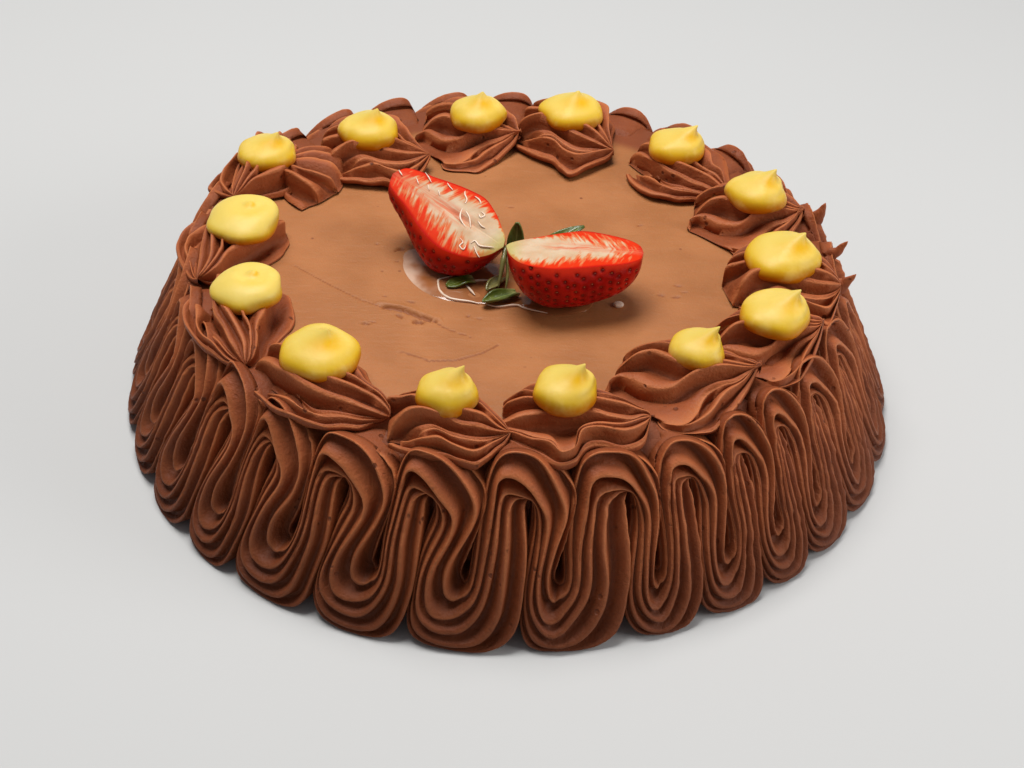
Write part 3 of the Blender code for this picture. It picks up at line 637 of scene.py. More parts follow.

# Strings of gel: half width and places, on the cake in mm, and on the left half's cut face as
# shares of its length and half width. They thin out at both ends.
# Their pale colour is partly painted glint
CAKE_STRINGS = (
    (0.45, (
        (-15.6, -11.0), (-20.2, -13.6), (-20.7, -15.9), (-19.8, -20.4),
        (-16.4, -24.2), (-10.1, -25.4), (-7.0, -26.4),
    )),
    (0.35, ((-12.5, -15.3), (-10.5, -18.6), (-8.7, -21.8))),
    (0.35, ((-5.0, -26.6), (-1.7, -27.6), (2.4, -26.6), (4.9, -26.3), (7.5, -27.9), (14.2, -30.0))),
    (0.40, ((-11.7, -15.0), (-8.0, -13.4), (-4.0, -13.0))),
)
FACE_STRINGS = (
    (0.30, ((0.98, -0.12), (0.93, -0.06))),
    (0.25, ((0.84, -0.20), (0.79, -0.10))),
    (0.30, ((0.82, -0.42), (0.77, -0.36), (0.73, -0.30))),
    (0.25, ((0.74, -0.22), (0.70, -0.12))),
    (0.30, ((0.64, -0.50), (0.61, -0.46), (0.57, -0.43))),
    (0.25, ((0.65, -0.24), (0.61, -0.15))),
    (0.35, ((0.50, -0.58), (0.48, -0.50), (0.44, -0.42), (0.43, -0.31))),
    (0.35, ((0.42, -0.60), (0.37, -0.58), (0.34, -0.52))),
    (0.45, ((0.42, -0.20), (0.40, -0.06), (0.37, 0.04), (0.30, 0.13))),
    (0.35, ((0.39, -0.19), (0.33, -0.10), (0.27, 0.08))),
    (0.40, ((0.30, -0.37), (0.26, -0.35), (0.27, -0.25), (0.30, -0.30))),
    (0.35, ((0.27, -0.15), (0.22, -0.10), (0.19, -0.11))),
    (0.35, ((0.28, 0.40), (0.24, 0.44), (0.24, 0.55), (0.20, 0.57), (0.21, 0.44))),
    (0.40, ((0.19, 0.37), (0.18, 0.27), (0.13, 0.30), (0.08, 0.22), (0.04, 0.14))),
    (0.35, ((0.16, 0.37), (0.11, 0.47), (0.07, 0.52))),
)
STRING_POINTS = 22
STRING_SIDES = 8
STRING_SWELL = 0.35
STRING_SWELL_LENGTH = 1.5 * MM
STRING_END = 0.02
CAKE_STRING_LIFT = 0.3 * MM
FACE_STRING_LIMIT = 0.8
FACE_STRING_SINK = 0.14 * MM
FACE_STRING_SIZE = 0.72
BEAD_PLACE = (36.4, -23.5)
BEAD_RADIUS = 1.7 * MM
BEAD_SHAPE = (1, 0.8, 0.55, 1)
BEAD_LIFT = 0.2 * MM
BEAD_WAVE = 0.25 * MM
BEAD_WAVE_LENGTH = 1.5 * MM

# Small pointed flaps of cream on the rim in mm: foot, tip, half width of the foot
FLAPS = (
    ((102.0, 30.5, 48.0), (106.3, 31.2, 56.5), 3.4),
    ((105.0, 8.0, 50.0), (111.0, 8.0, 56.3), 2.6),
    ((103.5, -10.5, 48.0), (111.5, -10.5, 55.8), 3.6),
)
FLAP_RINGS = 12
FLAP_SIDES = 12
FLAP_THICKNESS = 0.55
FLAP_CURVE = 0.75
FLAP_BEND = 0.5
FLAP_UNEVEN = 0.35
FLAP_TIP = 0.1 * MM
# Nearness to a crest at a flap's tip, growing from its foot: painted shade low on the flap, part of the
# painted crest highlight at the tip
FLAP_RIDGE = 0.5

# Floor, surroundings and lights; each light: name, place, target, size, power, colour
FLOOR_SIZE = 6.0
WORLD_COLOR = (0.93, 0.95, 1.0, 1.0)
WORLD_STRENGTH = 0.20
LIGHTS = (
    ("overhead_light", (-0.15, 0.20, 1.1), (0, 0, 0.05), (0.7, 0.5), 14.4, (1.0, 0.99, 0.97)),
    ("right_light", (0.9, -0.25, 0.45), (0, 0, 0.03), (0.5, 0.5), 4.2, (1.0, 0.99, 0.98)),
)

# Colours, linear
CREAM_LIGHT = (0.365, 0.093, 0.028)
CREAM_DEEP = (0.28, 0.066, 0.020)
# Painted highlight on the crests of the piping
CREAM_CREST_HIGHLIGHT = (0.48, 0.147, 0.049)
SPREAD_DARK = (0.350, 0.131, 0.043)
SPREAD_LIGHT = (0.408, 0.157, 0.054)
# Painted shade in the dents and long marks of the top
SPREAD_DENT_SHADE = (0.27, 0.086, 0.025)
SPREAD_SPECK = (0.20, 0.06, 0.022)
SPREAD_RIM = (0.24, 0.064, 0.024)
# Painted shade low down on the drops
LEMON_LOW_SHADE = (0.60, 0.20, 0.0005)
LEMON_BODY = (0.72, 0.44, 0.014)
# Painted light on the domes of the drops
LEMON_DOME_LIGHT = (0.73, 0.54, 0.115)
# Painted shade on the side of the tip turned from the light
LEMON_TIP_SHADE = (0.78, 0.43, 0.006)
LEMON_SWIRL = (0.86, 0.63, 0.17)
SKIN_DARK = (0.30, 0.003, 0.003)
SKIN_LIGHT = (0.47, 0.009, 0.004)
SKIN_RIM = (0.72, 0.030, 0.008)
# Painted shade in the seed pits
SKIN_PIT_SHADE = (0.19, 0.003, 0.002)
FLESH_DARK = (0.56, 0.365, 0.22)
FLESH_LIGHT = (0.62, 0.465, 0.32)
FLESH_STREAK = (0.62, 0.18, 0.065)
FLESH_RED = (0.66, 0.032, 0.006)
FLESH_RIM = (0.48, 0.008, 0.004)
FLESH_CORE = (0.62, 0.19, 0.10)
FLESH_STEM = (0.46, 0.40, 0.12)
SEED_DARK = (0.26, 0.020, 0.008)
SEED_LIGHT = (0.42, 0.10, 0.022)
LEAF_DARK = (0.040, 0.072, 0.006)
LEAF_LIGHT = (0.115, 0.150, 0.014)
LEAF_VEIN = (0.26, 0.33, 0.08)
LEAF_PALE = (0.20, 0.17, 0.055)
LEAF_FOOT = (0.42, 0.42, 0.14)
GLAZE_CLEAR = (0.31, 0.110, 0.038)
GLAZE_MILK = (0.66, 0.45, 0.33)
# Pale gel, partly painted glint
GEL_GLINT_DARK = (0.74, 0.54, 0.40)
GEL_GLINT_LIGHT = (0.84, 0.68, 0.54)
FLOOR_DARK = (0.535, 0.535, 0.53)
FLOOR_LIGHT = (0.555, 0.555, 0.55)

# How far light spreads under a surface: its weight, and its reach in mm for red, green and blue
CREAM_SCATTER = (0.06, (1.6, 0.6, 0.3))
LEMON_SCATTER = (0.15, (2.0, 1.4, 0.5))
SKIN_SCATTER = (0.08, (2.0, 0.4, 0.2))
FLESH_SCATTER = (0.08, (1.5, 0.5, 0.3))


def clear_scene():
    for thing in list(bpy.data.objects):
        bpy.data.objects.remove(thing, do_unlink=True)


def blend(start, end, share):
    return start + (end - start) * share


def clamped(value):
    return min(1.0, max(0.0, value))


def bell(off):
    """1 where off is 0, and falling smoothly to both sides."""
    return math.exp(-(off**2))


def polar(angle, radius, height):
    return Vector((radius * math.cos(angle), radius * math.sin(angle), height))


def smooth_line(points, count, closed=False):
    """Evenly numbered points on a smooth curve through the given points."""
    total = len(points)
    spans = total if closed else total - 1
    line = []
    steps = count if closed else count - 1
    for index in range(count):
        place = index * spans / steps
        span = min(int(place), spans - 1)
        share = place - span
        knots = []
        for offset in (-1, 0, 1, 2):
            number = span + offset
            number = number % total if closed else min(max(number, 0), total - 1)
            knots.append(points[number])
        line.append(tuple(cubic(share, *values) for values in zip(*knots)))
    return line


def cubic(share, before, start, end, after):
    """Catmull-Rom blend between start and end."""
    slope_start = (end - before) / 2
    slope_end = (after - start) / 2
    square = share * share
    cube = square * share
    return (
        (2 * cube - 3 * square + 1) * start
        + (cube - 2 * square + share) * slope_start
        + (3 * square - 2 * cube) * end
        + (cube - square) * slope_end
    )


def grid_faces(row_count, column_count, wrap_rows=False, wrap_columns=False):
    """Quads of a grid whose points are kept row by row."""
    faces = []
    for row in range(row_count if wrap_rows else row_count - 1):
        start = row * column_count
        after = (row + 1) % row_count * column_count
        for column in range(column_count if wrap_columns else column_count - 1):
            follow = (column + 1) % column_count
            faces.append((start + column, start + follow, after + follow, after + column))
    return faces


def add_tube_faces(faces, start, ring_count, side_count):
    """Adds the side and both ends of a tube whose points are kept ring by ring."""
    for face in grid_faces(ring_count, side_count, wrap_columns=True):
        faces.append(tuple(start + corner for corner in face))
    for ring in (0, ring_count - 1):
        faces.append(tuple(start + ring * side_count + side for side in range(side_count)))


def mesh_from_points(name, points, faces, **values):
    """A mesh that keeps each of the values as one number for each point, for the materials."""
    mesh = bpy.data.meshes.new(name)
    mesh.from_pydata([tuple(point) for point in points], [], faces)
    for value_name, numbers in values.items():
        layer = mesh.attributes.new(value_name, "FLOAT", "POINT")
        layer.data.foreach_set("value", [float(number) for number in numbers])
    return mesh


def mesh_from_work(name, work):
    mesh = bpy.data.meshes.new(name)
    work.to_mesh(mesh)
    work.free()
    return mesh


def tidy_mesh(mesh):
    """Joins doubled points and turns all faces outwards."""
    work = bmesh.new()
    work.from_mesh(mesh)
    bmesh.ops.remove_doubles(work, verts=work.verts[:], dist=MERGE_DISTANCE)
    bmesh.ops.dissolve_degenerate(work, dist=SHORTEST_EDGE, edges=work.edges[:])
    bmesh.ops.recalc_face_normals(work, faces=work.faces[:])
    work.to_mesh(mesh)
    work.free()


def add_piece(name, mesh, material, replaced=None):
    """Adds a finished piece on the cake's body, in place of the solid it stands for."""
    thing = bpy.data.objects.new(name, mesh)
    bpy.context.scene.collection.objects.link(thing)
    mesh.materials.append(material)
    mesh.shade_smooth()
    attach(thing, "root")
    if replaced:
        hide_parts(replaced)
    return thing


def make_piece(name, points, faces, material, slot, replaced=None, **values):
    """Adds a piece from its points and faces, with the values that its material reads."""
    mesh = mesh_from_points(name, points, faces, **values)
    tidy_mesh(mesh)
    add_piece(name, mesh, material, replaced)


class Nodes:
    """Short calls for building a material's node tree."""

    def __init__(self, name):
        self.material = bpy.data.materials.new(name)
        self.material.use_nodes = True
        self.tree = self.material.node_tree
        self.shader = self.tree.nodes["Principled BSDF"]

    def add(self, kind, **settings):
        node = self.tree.nodes.new(kind)
        for name, value in settings.items():
            setattr(node, name, value)
        return node

    def link(self, source, target):
        self.tree.links.new(source, target)

    def attribute(self, name):
        return self.add("ShaderNodeAttribute", attribute_name=name).outputs["Fac"]

    def place(self):
        return self.add("ShaderNodeTexCoord").outputs["Object"]

    def plane(self, x, y):
        """A place with the given X and Y."""
        node = self.add("ShaderNodeCombineXYZ")
        self.link(x, node.inputs["X"])
        self.link(y, node.inputs["Y"])
        return node.outputs["Vector"]

    def noise(self, scale, detail=2.0, roughness=0.5, vector=None):
        node = self.add("ShaderNodeTexNoise")
        node.inputs["Scale"].default_value = scale
        node.inputs["Detail"].default_value = detail
        node.inputs["Roughness"].default_value = roughness
        self.link(vector if vector is not None else self.place(), node.inputs["Vector"])
        return node.outputs["Fac"]

    def specks(self, scale, edge, spread, chosen):
        """Small round specks with a soft edge, only where the spread noise is high."""
        cells = self.add("ShaderNodeTexVoronoi")
        cells.inputs["Scale"].default_value = scale
        self.link(self.place(), cells.inputs["Vector"])
        speck = self.range(cells.outputs["Distance"], *edge, 1.0, 0.0)
        return self.times(speck, self.range(spread, *chosen))

    def range(self, value, low, high, out_low=0.0, out_high=1.0):
        node = self.add("ShaderNodeMapRange", interpolation_type="SMOOTHSTEP")
        limits = {"From Min": low, "From Max": high, "To Min": out_low, "To Max": out_high}
        for name, number in limits.items():
            node.inputs[name].default_value = number
        self.link(value, node.inputs["Value"])
        return node.outputs["Result"]

    def math(self, operation, first, second=0.0):
        node = self.add("ShaderNodeMath", operation=operation)
        for socket, value in zip(node.inputs, (first, second)):
            if isinstance(value, (int, float)):
                socket.default_value = value
            else:
                self.link(value, socket)
        return node.outputs["Value"]

    def times(self, first, second):
        return self.math("MULTIPLY", first, second)

    def mix(self, factor, first, second):
        """Blend of two colours, each a tuple or a socket."""
        node = self.add("ShaderNodeMix", data_type="RGBA")
        self.link(factor, node.inputs["Factor"])
        for socket, value in ((node.inputs[6], first), (node.inputs[7], second)):
            if isinstance(value, tuple):
                socket.default_value = (*value, 1.0)
            else:
                self.link(value, socket)
        return node.outputs[2]

    def bump(self, height, distance, strength=1.0, before=None):
        node = self.add("ShaderNodeBump")
        node.inputs["Distance"].default_value = distance
        node.inputs["Strength"].default_value = strength
        self.link(height, node.inputs["Height"])
        if before is not None:
            self.link(before, node.inputs["Normal"])
        return node.outputs["Normal"]

    def finish(self, color, roughness, normal, scatter=None, **constants):
        """Gives the shader its looks; scatter is how light spreads under the surface."""
        if scatter:
            weight, reach = scatter
            constants["Subsurface_Weight"] = weight
            constants["Subsurface_Radius"] = tuple(value * MM for value in reach)
            constants["Subsurface_Scale"] = 1.0
        for name, value in (("Base Color", color), ("Roughness", roughness), ("Normal", normal)):
            if isinstance(value, (int, float)):
                self.shader.inputs[name].default_value = value
            else:
                self.link(value, self.shader.inputs[name])
        for name, value in constants.items():
            self.shader.inputs[name.replace("_", " ")].default_value = value
        return self.material


def darker(color, share):
    return tuple(share * value for value in color)


def cream_material():
    """Piped truffle cream: satin, finely grained, with small air bubbles, a painted highlight on the
    crests and painted shade in the channels, towards the foot and in the bubbles.
    """
    nodes = Nodes("piped_cream")
    cloud = nodes.noise(70, 3.0)
    ridge = nodes.attribute("ridge")
    color = nodes.mix(nodes.range(cloud, 0.35, 0.65), CREAM_DEEP, CREAM_LIGHT)
    # Painted highlight on the crests
    color = nodes.mix(nodes.range(ridge, 0.2, 1.0), color, CREAM_CREST_HIGHLIGHT)
    # Painted shade in the channels between the crests, stronger away from them
    color = nodes.mix(nodes.range(ridge, 0.0, 0.4, 0.5, 0.0), color, darker(CREAM_DEEP, 0.5))
    # Painted shade towards the foot of the side, strongest at the floor
    height = nodes.add("ShaderNodeSeparateXYZ")
    nodes.link(nodes.place(), height.inputs["Vector"])
    foot = nodes.range(height.outputs["Z"], 0.0, 42 * MM, 0.85, 0.0)
    color = nodes.mix(foot, color, darker(CREAM_DEEP, 0.4))
    # Air bubbles: small pits in the bump, darkened with painted shade
    bubble = nodes.specks(230, (0.10, 0.22), nodes.noise(95, 0.0), (0.60, 0.66))
    color = nodes.mix(bubble, color, darker(CREAM_DEEP, 0.5))
    normal = nodes.bump(nodes.noise(1300, 3.0, 0.7), 0.26 * MM, 1.0)
    normal = nodes.bump(nodes.noise(380, 3.0, 0.6), 0.5 * MM, 0.9, normal)
    normal = nodes.bump(nodes.math("SUBTRACT", 1.0, bubble), 0.4 * MM, 0.8, normal)
    roughness = nodes.range(cloud, 0.3, 0.7, 0.50, 0.60)
    return nodes.finish(color, roughness, normal, CREAM_SCATTER, Specular_IOR_Level=0.22)


def top_material():
    """Spread cream of the top: smoother and paler, with spatula drags, dark crumbs and painted shade in
    its dents and marks.
    """
    nodes = Nodes("spread_cream")
    cloud = nodes.noise(55, 3.0)
    color = nodes.mix(nodes.range(cloud, 0.3, 0.7), SPREAD_DARK, SPREAD_LIGHT)
    # Painted shade in the dents and long marks
    color = nodes.mix(nodes.range(nodes.attribute("mark"), 0.02, 0.8), color, SPREAD_DENT_SHADE)
    speck = nodes.specks(260, (0.08, 0.2), nodes.noise(60, 1.0), (0.64, 0.70))
    color = nodes.mix(speck, color, SPREAD_SPECK)
    flat = nodes.add("ShaderNodeVectorMath", operation="MULTIPLY")
    flat.inputs[1].default_value = (1.0, 1.0, 0.0)
    nodes.link(nodes.place(), flat.inputs[0])
    radius = nodes.add("ShaderNodeVectorMath", operation="LENGTH")
    nodes.link(flat.outputs["Vector"], radius.inputs[0])
    rim = nodes.range(radius.outputs["Value"], 84 * MM, 90 * MM)
    color = nodes.mix(rim, color, SPREAD_RIM)
    stretch = nodes.add("ShaderNodeMapping")
    stretch.inputs["Scale"].default_value = (0.35, 1.6, 1.0)
    stretch.inputs["Rotation"].default_value = (0.0, 0.0, math.radians(35))
    nodes.link(nodes.place(), stretch.inputs["Vector"])
    drag = nodes.noise(300, 3.0, 0.6, stretch.outputs["Vector"])
    normal = nodes.bump(drag, 0.32 * MM, 0.8)
    normal = nodes.bump(nodes.noise(1100, 3.0, 0.7), 0.2 * MM, 0.9, normal)
    roughness = nodes.range(cloud, 0.3, 0.7, 0.46, 0.56)
    return nodes.finish(color, roughness, normal, CREAM_SCATTER, Specular_IOR_Level=0.25)


def lemon_material():
    """Lemon cream: satin custard, paler on the dome by painted light, golden low down and beside the tip
    by painted shade.
    """
    nodes = Nodes("lemon_cream")
    level = nodes.attribute("level")
    # Painted shade low down and painted light on the dome, by share of the height
    color = nodes.mix(nodes.range(level, 0.22, 0.50), LEMON_LOW_SHADE, LEMON_BODY)
    color = nodes.mix(nodes.range(level, 0.42, 0.68), color, LEMON_DOME_LIGHT)
    # Painted shade beside the tip, on its side turned from the light
    color = nodes.mix(nodes.attribute("tip"), color, LEMON_TIP_SHADE)
    swirl = nodes.noise(130, 3.0, 0.6)
    color = nodes.mix(nodes.range(swirl, 0.45, 0.75, 0.0, 0.45), color, LEMON_SWIRL)
    normal = nodes.bump(nodes.noise(210, 2.0), 0.25 * MM, 0.4)
    normal = nodes.bump(nodes.noise(900, 1.0), 0.04 * MM, 0.6, normal)
    return nodes.finish(color, 0.42, normal, LEMON_SCATTER, Specular_IOR_Level=0.24)


def skin_material():
    """Strawberry skin: glossy deep red, with painted shade in the pits and lighter along the cut."""
    nodes = Nodes("berry_skin")
    color = nodes.mix(nodes.range(nodes.noise(120, 2.0), 0.3, 0.7), SKIN_DARK, SKIN_LIGHT)
    color = nodes.mix(nodes.range(nodes.attribute("rim"), 0.0, 0.22, 1.0, 0.0), color, SKIN_RIM)
    # Painted shade in the seed pits
    color = nodes.mix(nodes.range(nodes.attribute("pit"), 0.1, 0.9), color, SKIN_PIT_SHADE)
    normal = nodes.bump(nodes.noise(500, 2.0), 0.12 * MM, 0.5)
    gloss = {"Specular_IOR_Level": 0.10, "Coat_Weight": 0.14, "Coat_Roughness": 0.08}
    return nodes.finish(color, 0.34, normal, SKIN_SCATTER, **gloss)


def flesh_material():
    """Cut face of a strawberry: red rim, streaks running inwards, cream flesh, pink core."""
    nodes = Nodes("berry_flesh")
    along = nodes.attribute("along")
    across = nodes.attribute("across")
    inward = nodes.attribute("inward")
    off_middle = nodes.math("ABSOLUTE", across)
    slant = nodes.math("ADD", along, nodes.times(off_middle, 0.12))
    fan = nodes.plane(nodes.times(slant, 30.0), nodes.times(across, 2.0))
    streak = nodes.noise(1.0, 3.0, 0.55, fan)
    reach = nodes.math("ADD", inward, nodes.range(streak, 0.25, 0.75, -0.70, 0.60))
    color = nodes.mix(nodes.range(nodes.noise(160, 3.0), 0.3, 0.7), FLESH_DARK, FLESH_LIGHT)
    color = nodes.mix(nodes.range(reach, 0.75, 1.35, 1.0, 0.0), color, FLESH_STREAK)
    color = nodes.mix(nodes.range(reach, 0.30, 0.90, 1.0, 0.0), color, FLESH_RED)
    color = nodes.mix(nodes.range(inward, 0.02, 0.22, 1.0, 0.0), color, FLESH_RIM)
    core_line = nodes.plane(nodes.times(along, 3.0), nodes.times(across, 16.0))
    core_streak = nodes.noise(1.0, 3.0, 0.6, core_line)
    middle = nodes.times(nodes.range(along, 0.18, 0.42), nodes.range(along, 0.72, 0.98, 1.0, 0.4))
    core = nodes.times(nodes.range(off_middle, 0.02, 0.26, 1.0, 0.0), middle)
    core = nodes.times(core, nodes.range(core_streak, 0.36, 0.60))
    color = nodes.mix(core, color, FLESH_CORE)
    color = nodes.mix(nodes.range(along, 0.0, 0.16, 0.85, 0.0), color, FLESH_STEM)
    normal = nodes.bump(streak, 0.5 * MM, 0.35)
    normal = nodes.bump(nodes.noise(420, 2.0, 0.5), 0.12 * MM, 0.5, normal)
    return nodes.finish(color, 0.45, normal, FLESH_SCATTER, Specular_IOR_Level=0.03)


def seed_material():
    nodes = Nodes("berry_seed")
    color = nodes.mix(nodes.range(nodes.noise(250, 1.0), 0.35, 0.65), SEED_DARK, SEED_LIGHT)
    normal = nodes.bump(nodes.noise(2200, 1.0), 0.05 * MM, 0.5)
    return nodes.finish(color, 0.35, normal, Coat_Weight=0.4, Coat_Roughness=0.1)


def leaf_material():
    """Calyx leaf: dark green with paler veins and a pale foot, wet with glaze."""
    nodes = Nodes("calyx_leaf")
    vein = nodes.attribute("vein")
    color = nodes.mix(nodes.range(nodes.noise(190, 3.0), 0.3, 0.7), LEAF_DARK, LEAF_LIGHT)
    color = nodes.mix(nodes.range(vein, 0.4, 1.0, 0.0, 0.7), color, LEAF_VEIN)
    color = nodes.mix(nodes.attribute("pale"), color, LEAF_PALE)
    color = nodes.mix(nodes.range(nodes.attribute("foot"), 0.0, 0.3, 0.7, 0.0), color, LEAF_FOOT)
    normal = nodes.bump(vein, 0.25 * MM, 0.8)
    normal = nodes.bump(nodes.noise(700, 2.0), 0.08 * MM, 0.6, normal)
    return nodes.finish(color, 0.35, normal, Coat_Weight=0.35, Coat_Roughness=0.08)


def glaze_material():
    """A thin wet film of fruit glaze over the cream, milky in patches near its rim."""
    nodes = Nodes("wet_glaze")
    milk = nodes.times(nodes.attribute("milk"), nodes.range(nodes.noise(90, 3.0), 0.25, 0.55))
    color = nodes.mix(milk, GLAZE_CLEAR, GLAZE_MILK)
    normal = nodes.bump(nodes.noise(160, 2.0), 0.4 * MM, 0.5)
    gloss = {"Specular_IOR_Level": 0.45, "Coat_Weight": 0.3, "Coat_Roughness": 0.03}
    return nodes.finish(color, 0.12, normal, **gloss)


def gel_glint_material():
    """Strings and beads of fruit glaze: milky, wet and shiny, pale so that they also stand for painted
    glints.
    """
    nodes = Nodes("milky_gel_glints")
    # Pale colour, partly painted glint
    color = nodes.mix(nodes.noise(300, 2.0), GEL_GLINT_DARK, GEL_GLINT_LIGHT)
    normal = nodes.bump(nodes.noise(500, 2.0), 0.05 * MM, 0.4)
    return nodes.finish(color, 0.3, normal, Specular_IOR_Level=0.5)


def floor_material():
    nodes = Nodes("pale_floor")
    color = nodes.mix(nodes.noise(3, 2.0), FLOOR_DARK, FLOOR_LIGHT)
    normal = nodes.bump(nodes.noise(400, 2.0), 0.02 * MM, 0.3)
    return nodes.finish(color, 0.7, normal, Specular_IOR_Level=0.2)


def wall_radius(height):
    return blend(WALL_FOOT_RADIUS, WALL_TOP_RADIUS, height / BODY_HEIGHT)


def crest_radius(angle, height):
    """Radius of the piping's ridges; the cake is a little flatter on its left."""
    off = (math.degrees(angle) - FLAT_SIDE_ANGLE + 180) % 360 - 180
    flat = FLAT_SIDE_DEPTH * bell(off / FLAT_SIDE_SPREAD)
    return blend(CREST_FOOT_RADIUS, CREST_TOP_RADIUS, height / BODY_HEIGHT) - flat


def disc_point(across, along):
    """Maps a square from -1 to 1 onto a disc, ring by ring."""
    if across == 0 and along == 0:
        return 0.0, 0.0
    if abs(across) > abs(along):
        radius = across
        angle = math.pi / 4 * along / across
    else:
        radius = along
        angle = math.pi / 2 - math.pi / 4 * across / along
    return radius * math.cos(angle), radius * math.sin(angle)


def pit_shape(x, y, pit_x, pit_y, length, width, heading):
    """Depth share from 0 to 1 of one dent at a place in mm, with a ragged rim."""
    turn = math.radians(heading)
    off_x = x - pit_x
    off_y = y - pit_y
    if abs(off_x) > length or abs(off_y) > length:
        return 0.0
    along = (off_x * math.cos(turn) + off_y * math.sin(turn)) / (length / 2)
    across = (off_y * math.cos(turn) - off_x * math.sin(turn)) / (width / 2)
    ragged = 1 + PIT_EDGE * noise.noise(Vector((x * PIT_EDGE_SCALE, y * PIT_EDGE_SCALE, pit_x)))
    spread = math.hypot(along, across) * ragged
    return max(0.0, 1 - spread**3)


def mark_shape(x, y, width, points):
    """Depth share of a long mark at a place in mm, and share of the lip along its one side."""
    ragged = 1 + MARK_EDGE * noise.noise(Vector((x * MARK_EDGE_SCALE, y * MARK_EDGE_SCALE, width)))
    deepest = 0.0
    highest = 0.0
    for (start_x, start_y), (end_x, end_y) in zip(points, points[1:]):
        step_x = end_x - start_x
        step_y = end_y - start_y
        share = ((x - start_x) * step_x + (y - start_y) * step_y) / (step_x**2 + step_y**2)
        share = clamped(share)
        off_x = x - start_x - share * step_x
        off_y = y - start_y - share * step_y
        distance = math.hypot(off_x, off_y)
        deepest = max(deepest, 1 - (2 * distance / width * ragged) ** 2)
        if distance < LIP_REACH * width:
            off = (off_x * step_y - off_y * step_x) / math.hypot(step_x, step_y)
            highest = max(highest, bell((off + LIP_OFFSET * width) / (LIP_HALF_WIDTH * width)))
    return deepest, highest


def make_body(material):
    """The cake's body: a fine, slightly uneven top with dents and marks, and a plain wall."""
    points = []
    marks = []
    count = TOP_GRID_CELLS + 1
    for row in range(count):
        for column in range(count):
            x, y = disc_point(2 * column / TOP_GRID_CELLS - 1, 2 * row / TOP_GRID_CELLS - 1)
            x *= TOP_GRID_RADIUS
            y *= TOP_GRID_RADIUS
            place = Vector((x, y, 0))
            rise = TOP_WAVE * (noise.noise(place / TOP_WAVE_LENGTH) - TOP_SINK)
            rise += TOP_GRAIN * noise.noise(place / TOP_GRAIN_LENGTH)
            # How deep this place lies in a dent or mark, for the painted shade there
            mark = 0.0
            for *pit, depth in PITS:
                share = pit_shape(x / MM, y / MM, *pit)
                rise -= share * depth * MM
                mark = max(mark, share)
            for width, depth, lip_height, line in MARKS:
                share, lip = mark_shape(x / MM, y / MM, width, line)
                rise += (lip * lip_height - share * depth) * MM
                mark = max(mark, share)
            points.append((x, y, BODY_HEIGHT + rise))
            marks.append(mark)
    mesh = mesh_from_points("cream_body", points, grid_faces(count, count), mark=marks)
    work = bmesh.new()
    work.from_mesh(mesh)
    for radius, height in ((WALL_TOP_RADIUS, BODY_HEIGHT), (WALL_FOOT_RADIUS, 0.0)):
        rim = [edge for edge in work.edges if edge.is_boundary]
        pushed = bmesh.ops.extrude_edge_only(work, edges=rim)["geom"]
        for vert in [item for item in pushed if isinstance(item, bmesh.types.BMVert)]:
            vert.co = polar(math.atan2(vert.co.y, vert.co.x), radius, height)
    bmesh.ops.holes_fill(work, edges=[edge for edge in work.edges if edge.is_boundary])
    bmesh.ops.recalc_face_normals(work, faces=work.faces[:])
    work.to_mesh(mesh)
    work.free()
    add_piece("cream_body", mesh, material, "cake_body")


def loop_angles():
    """Angles of all bends and arches: the front ones as measured, the rest spread evenly."""
    loops = [(math.radians(bend), math.radians(arch)) for bend, arch, lift in FRONT_LOOPS]
    last = loops[-1][0]
    rest = LOOP_COUNT - len(loops)
    step = (loops[0][0] + 2 * math.pi - last) / (rest + 1)
    for index in range(rest):
        bend = last + step * (index + 1)
        loops.append((bend, bend + ARCH_SHARE * step))
    return loops


def loop_at(loops, index):
    """Bend and arch angle of a loop, counted on past one turn round the cake."""
    turns, place = divmod(index, len(loops))
    bend, arch = loops[place]
    return bend + turns * 2 * math.pi, arch + turns * 2 * math.pi


def station_table():
    """All stations round the cake as an array of angle, height and set-back for each crest."""
    loops = loop_angles()
    knots = []
    angles = []
    for index in range(-2, LOOP_COUNT + 2):
        knots += [index, index + BEND_SHARE]
        angles += [loop_at(loops, index)[1], loop_at(loops, index + 1)[0]]
    draw = random.Random(STRAND_DRAW)
    table = []
    hollows = []
    for loop in range(LOOP_COUNT):
        lift = REST_LIFT + draw.uniform(-LOOP_JITTER, LOOP_JITTER)
        if loop < len(FRONT_LOOPS):
            lift = FRONT_LOOPS[loop][2]
        for *station, hollow in STATIONS:
            row = []
            for place, height, set_back in station:
                place += loop + draw.uniform(-PLACE_JITTER, PLACE_JITTER)
                height += draw.uniform(-HEIGHT_JITTER, HEIGHT_JITTER)
                height += lift * clamped((height - LIFT_START) / LIFT_SPAN)
                set_back = max(0.0, set_back + draw.uniform(-DEPTH_JITTER, DEPTH_JITTER))
                row.append((float(numpy.interp(place, knots, angles)), height * MM, set_back * MM))
            table.append(row)
            hollows.append(hollow * MM)
    return numpy.array(table), numpy.array(hollows)


def rows_between(table, turn):
    """Smooth rows through all stations and back to the first, which lies one turn further on."""
    padded = numpy.concatenate([table[-1:] - turn, table, table[:2] + turn])
    rows = []
    for index in range(len(table)):
        knots = [padded[index + offset] for offset in range(4)]
        rows += [cubic(step / ROWS_PER_STATION, *knots) for step in range(ROWS_PER_STATION)]
    return numpy.array(rows)


def smoothed(rows, turn):
    """Rows of a closed strand with its kinks rounded off."""
    for smooth_pass in range(SMOOTH_PASSES):
        before = numpy.concatenate([rows[-1:] - turn, rows[:-1]])
        after = numpy.concatenate([rows[1:], rows[:1] + turn])
        rows = 0.25 * before + 0.5 * rows + 0.25 * after
    return rows


def side_noise(angle, height, length, seed):
    """Noise that closes round the cake, for one point of its side."""
    place = polar(angle, CREST_FOOT_RADIUS, height) / length
    return noise.noise(place + Vector((seed, 0, 0)))


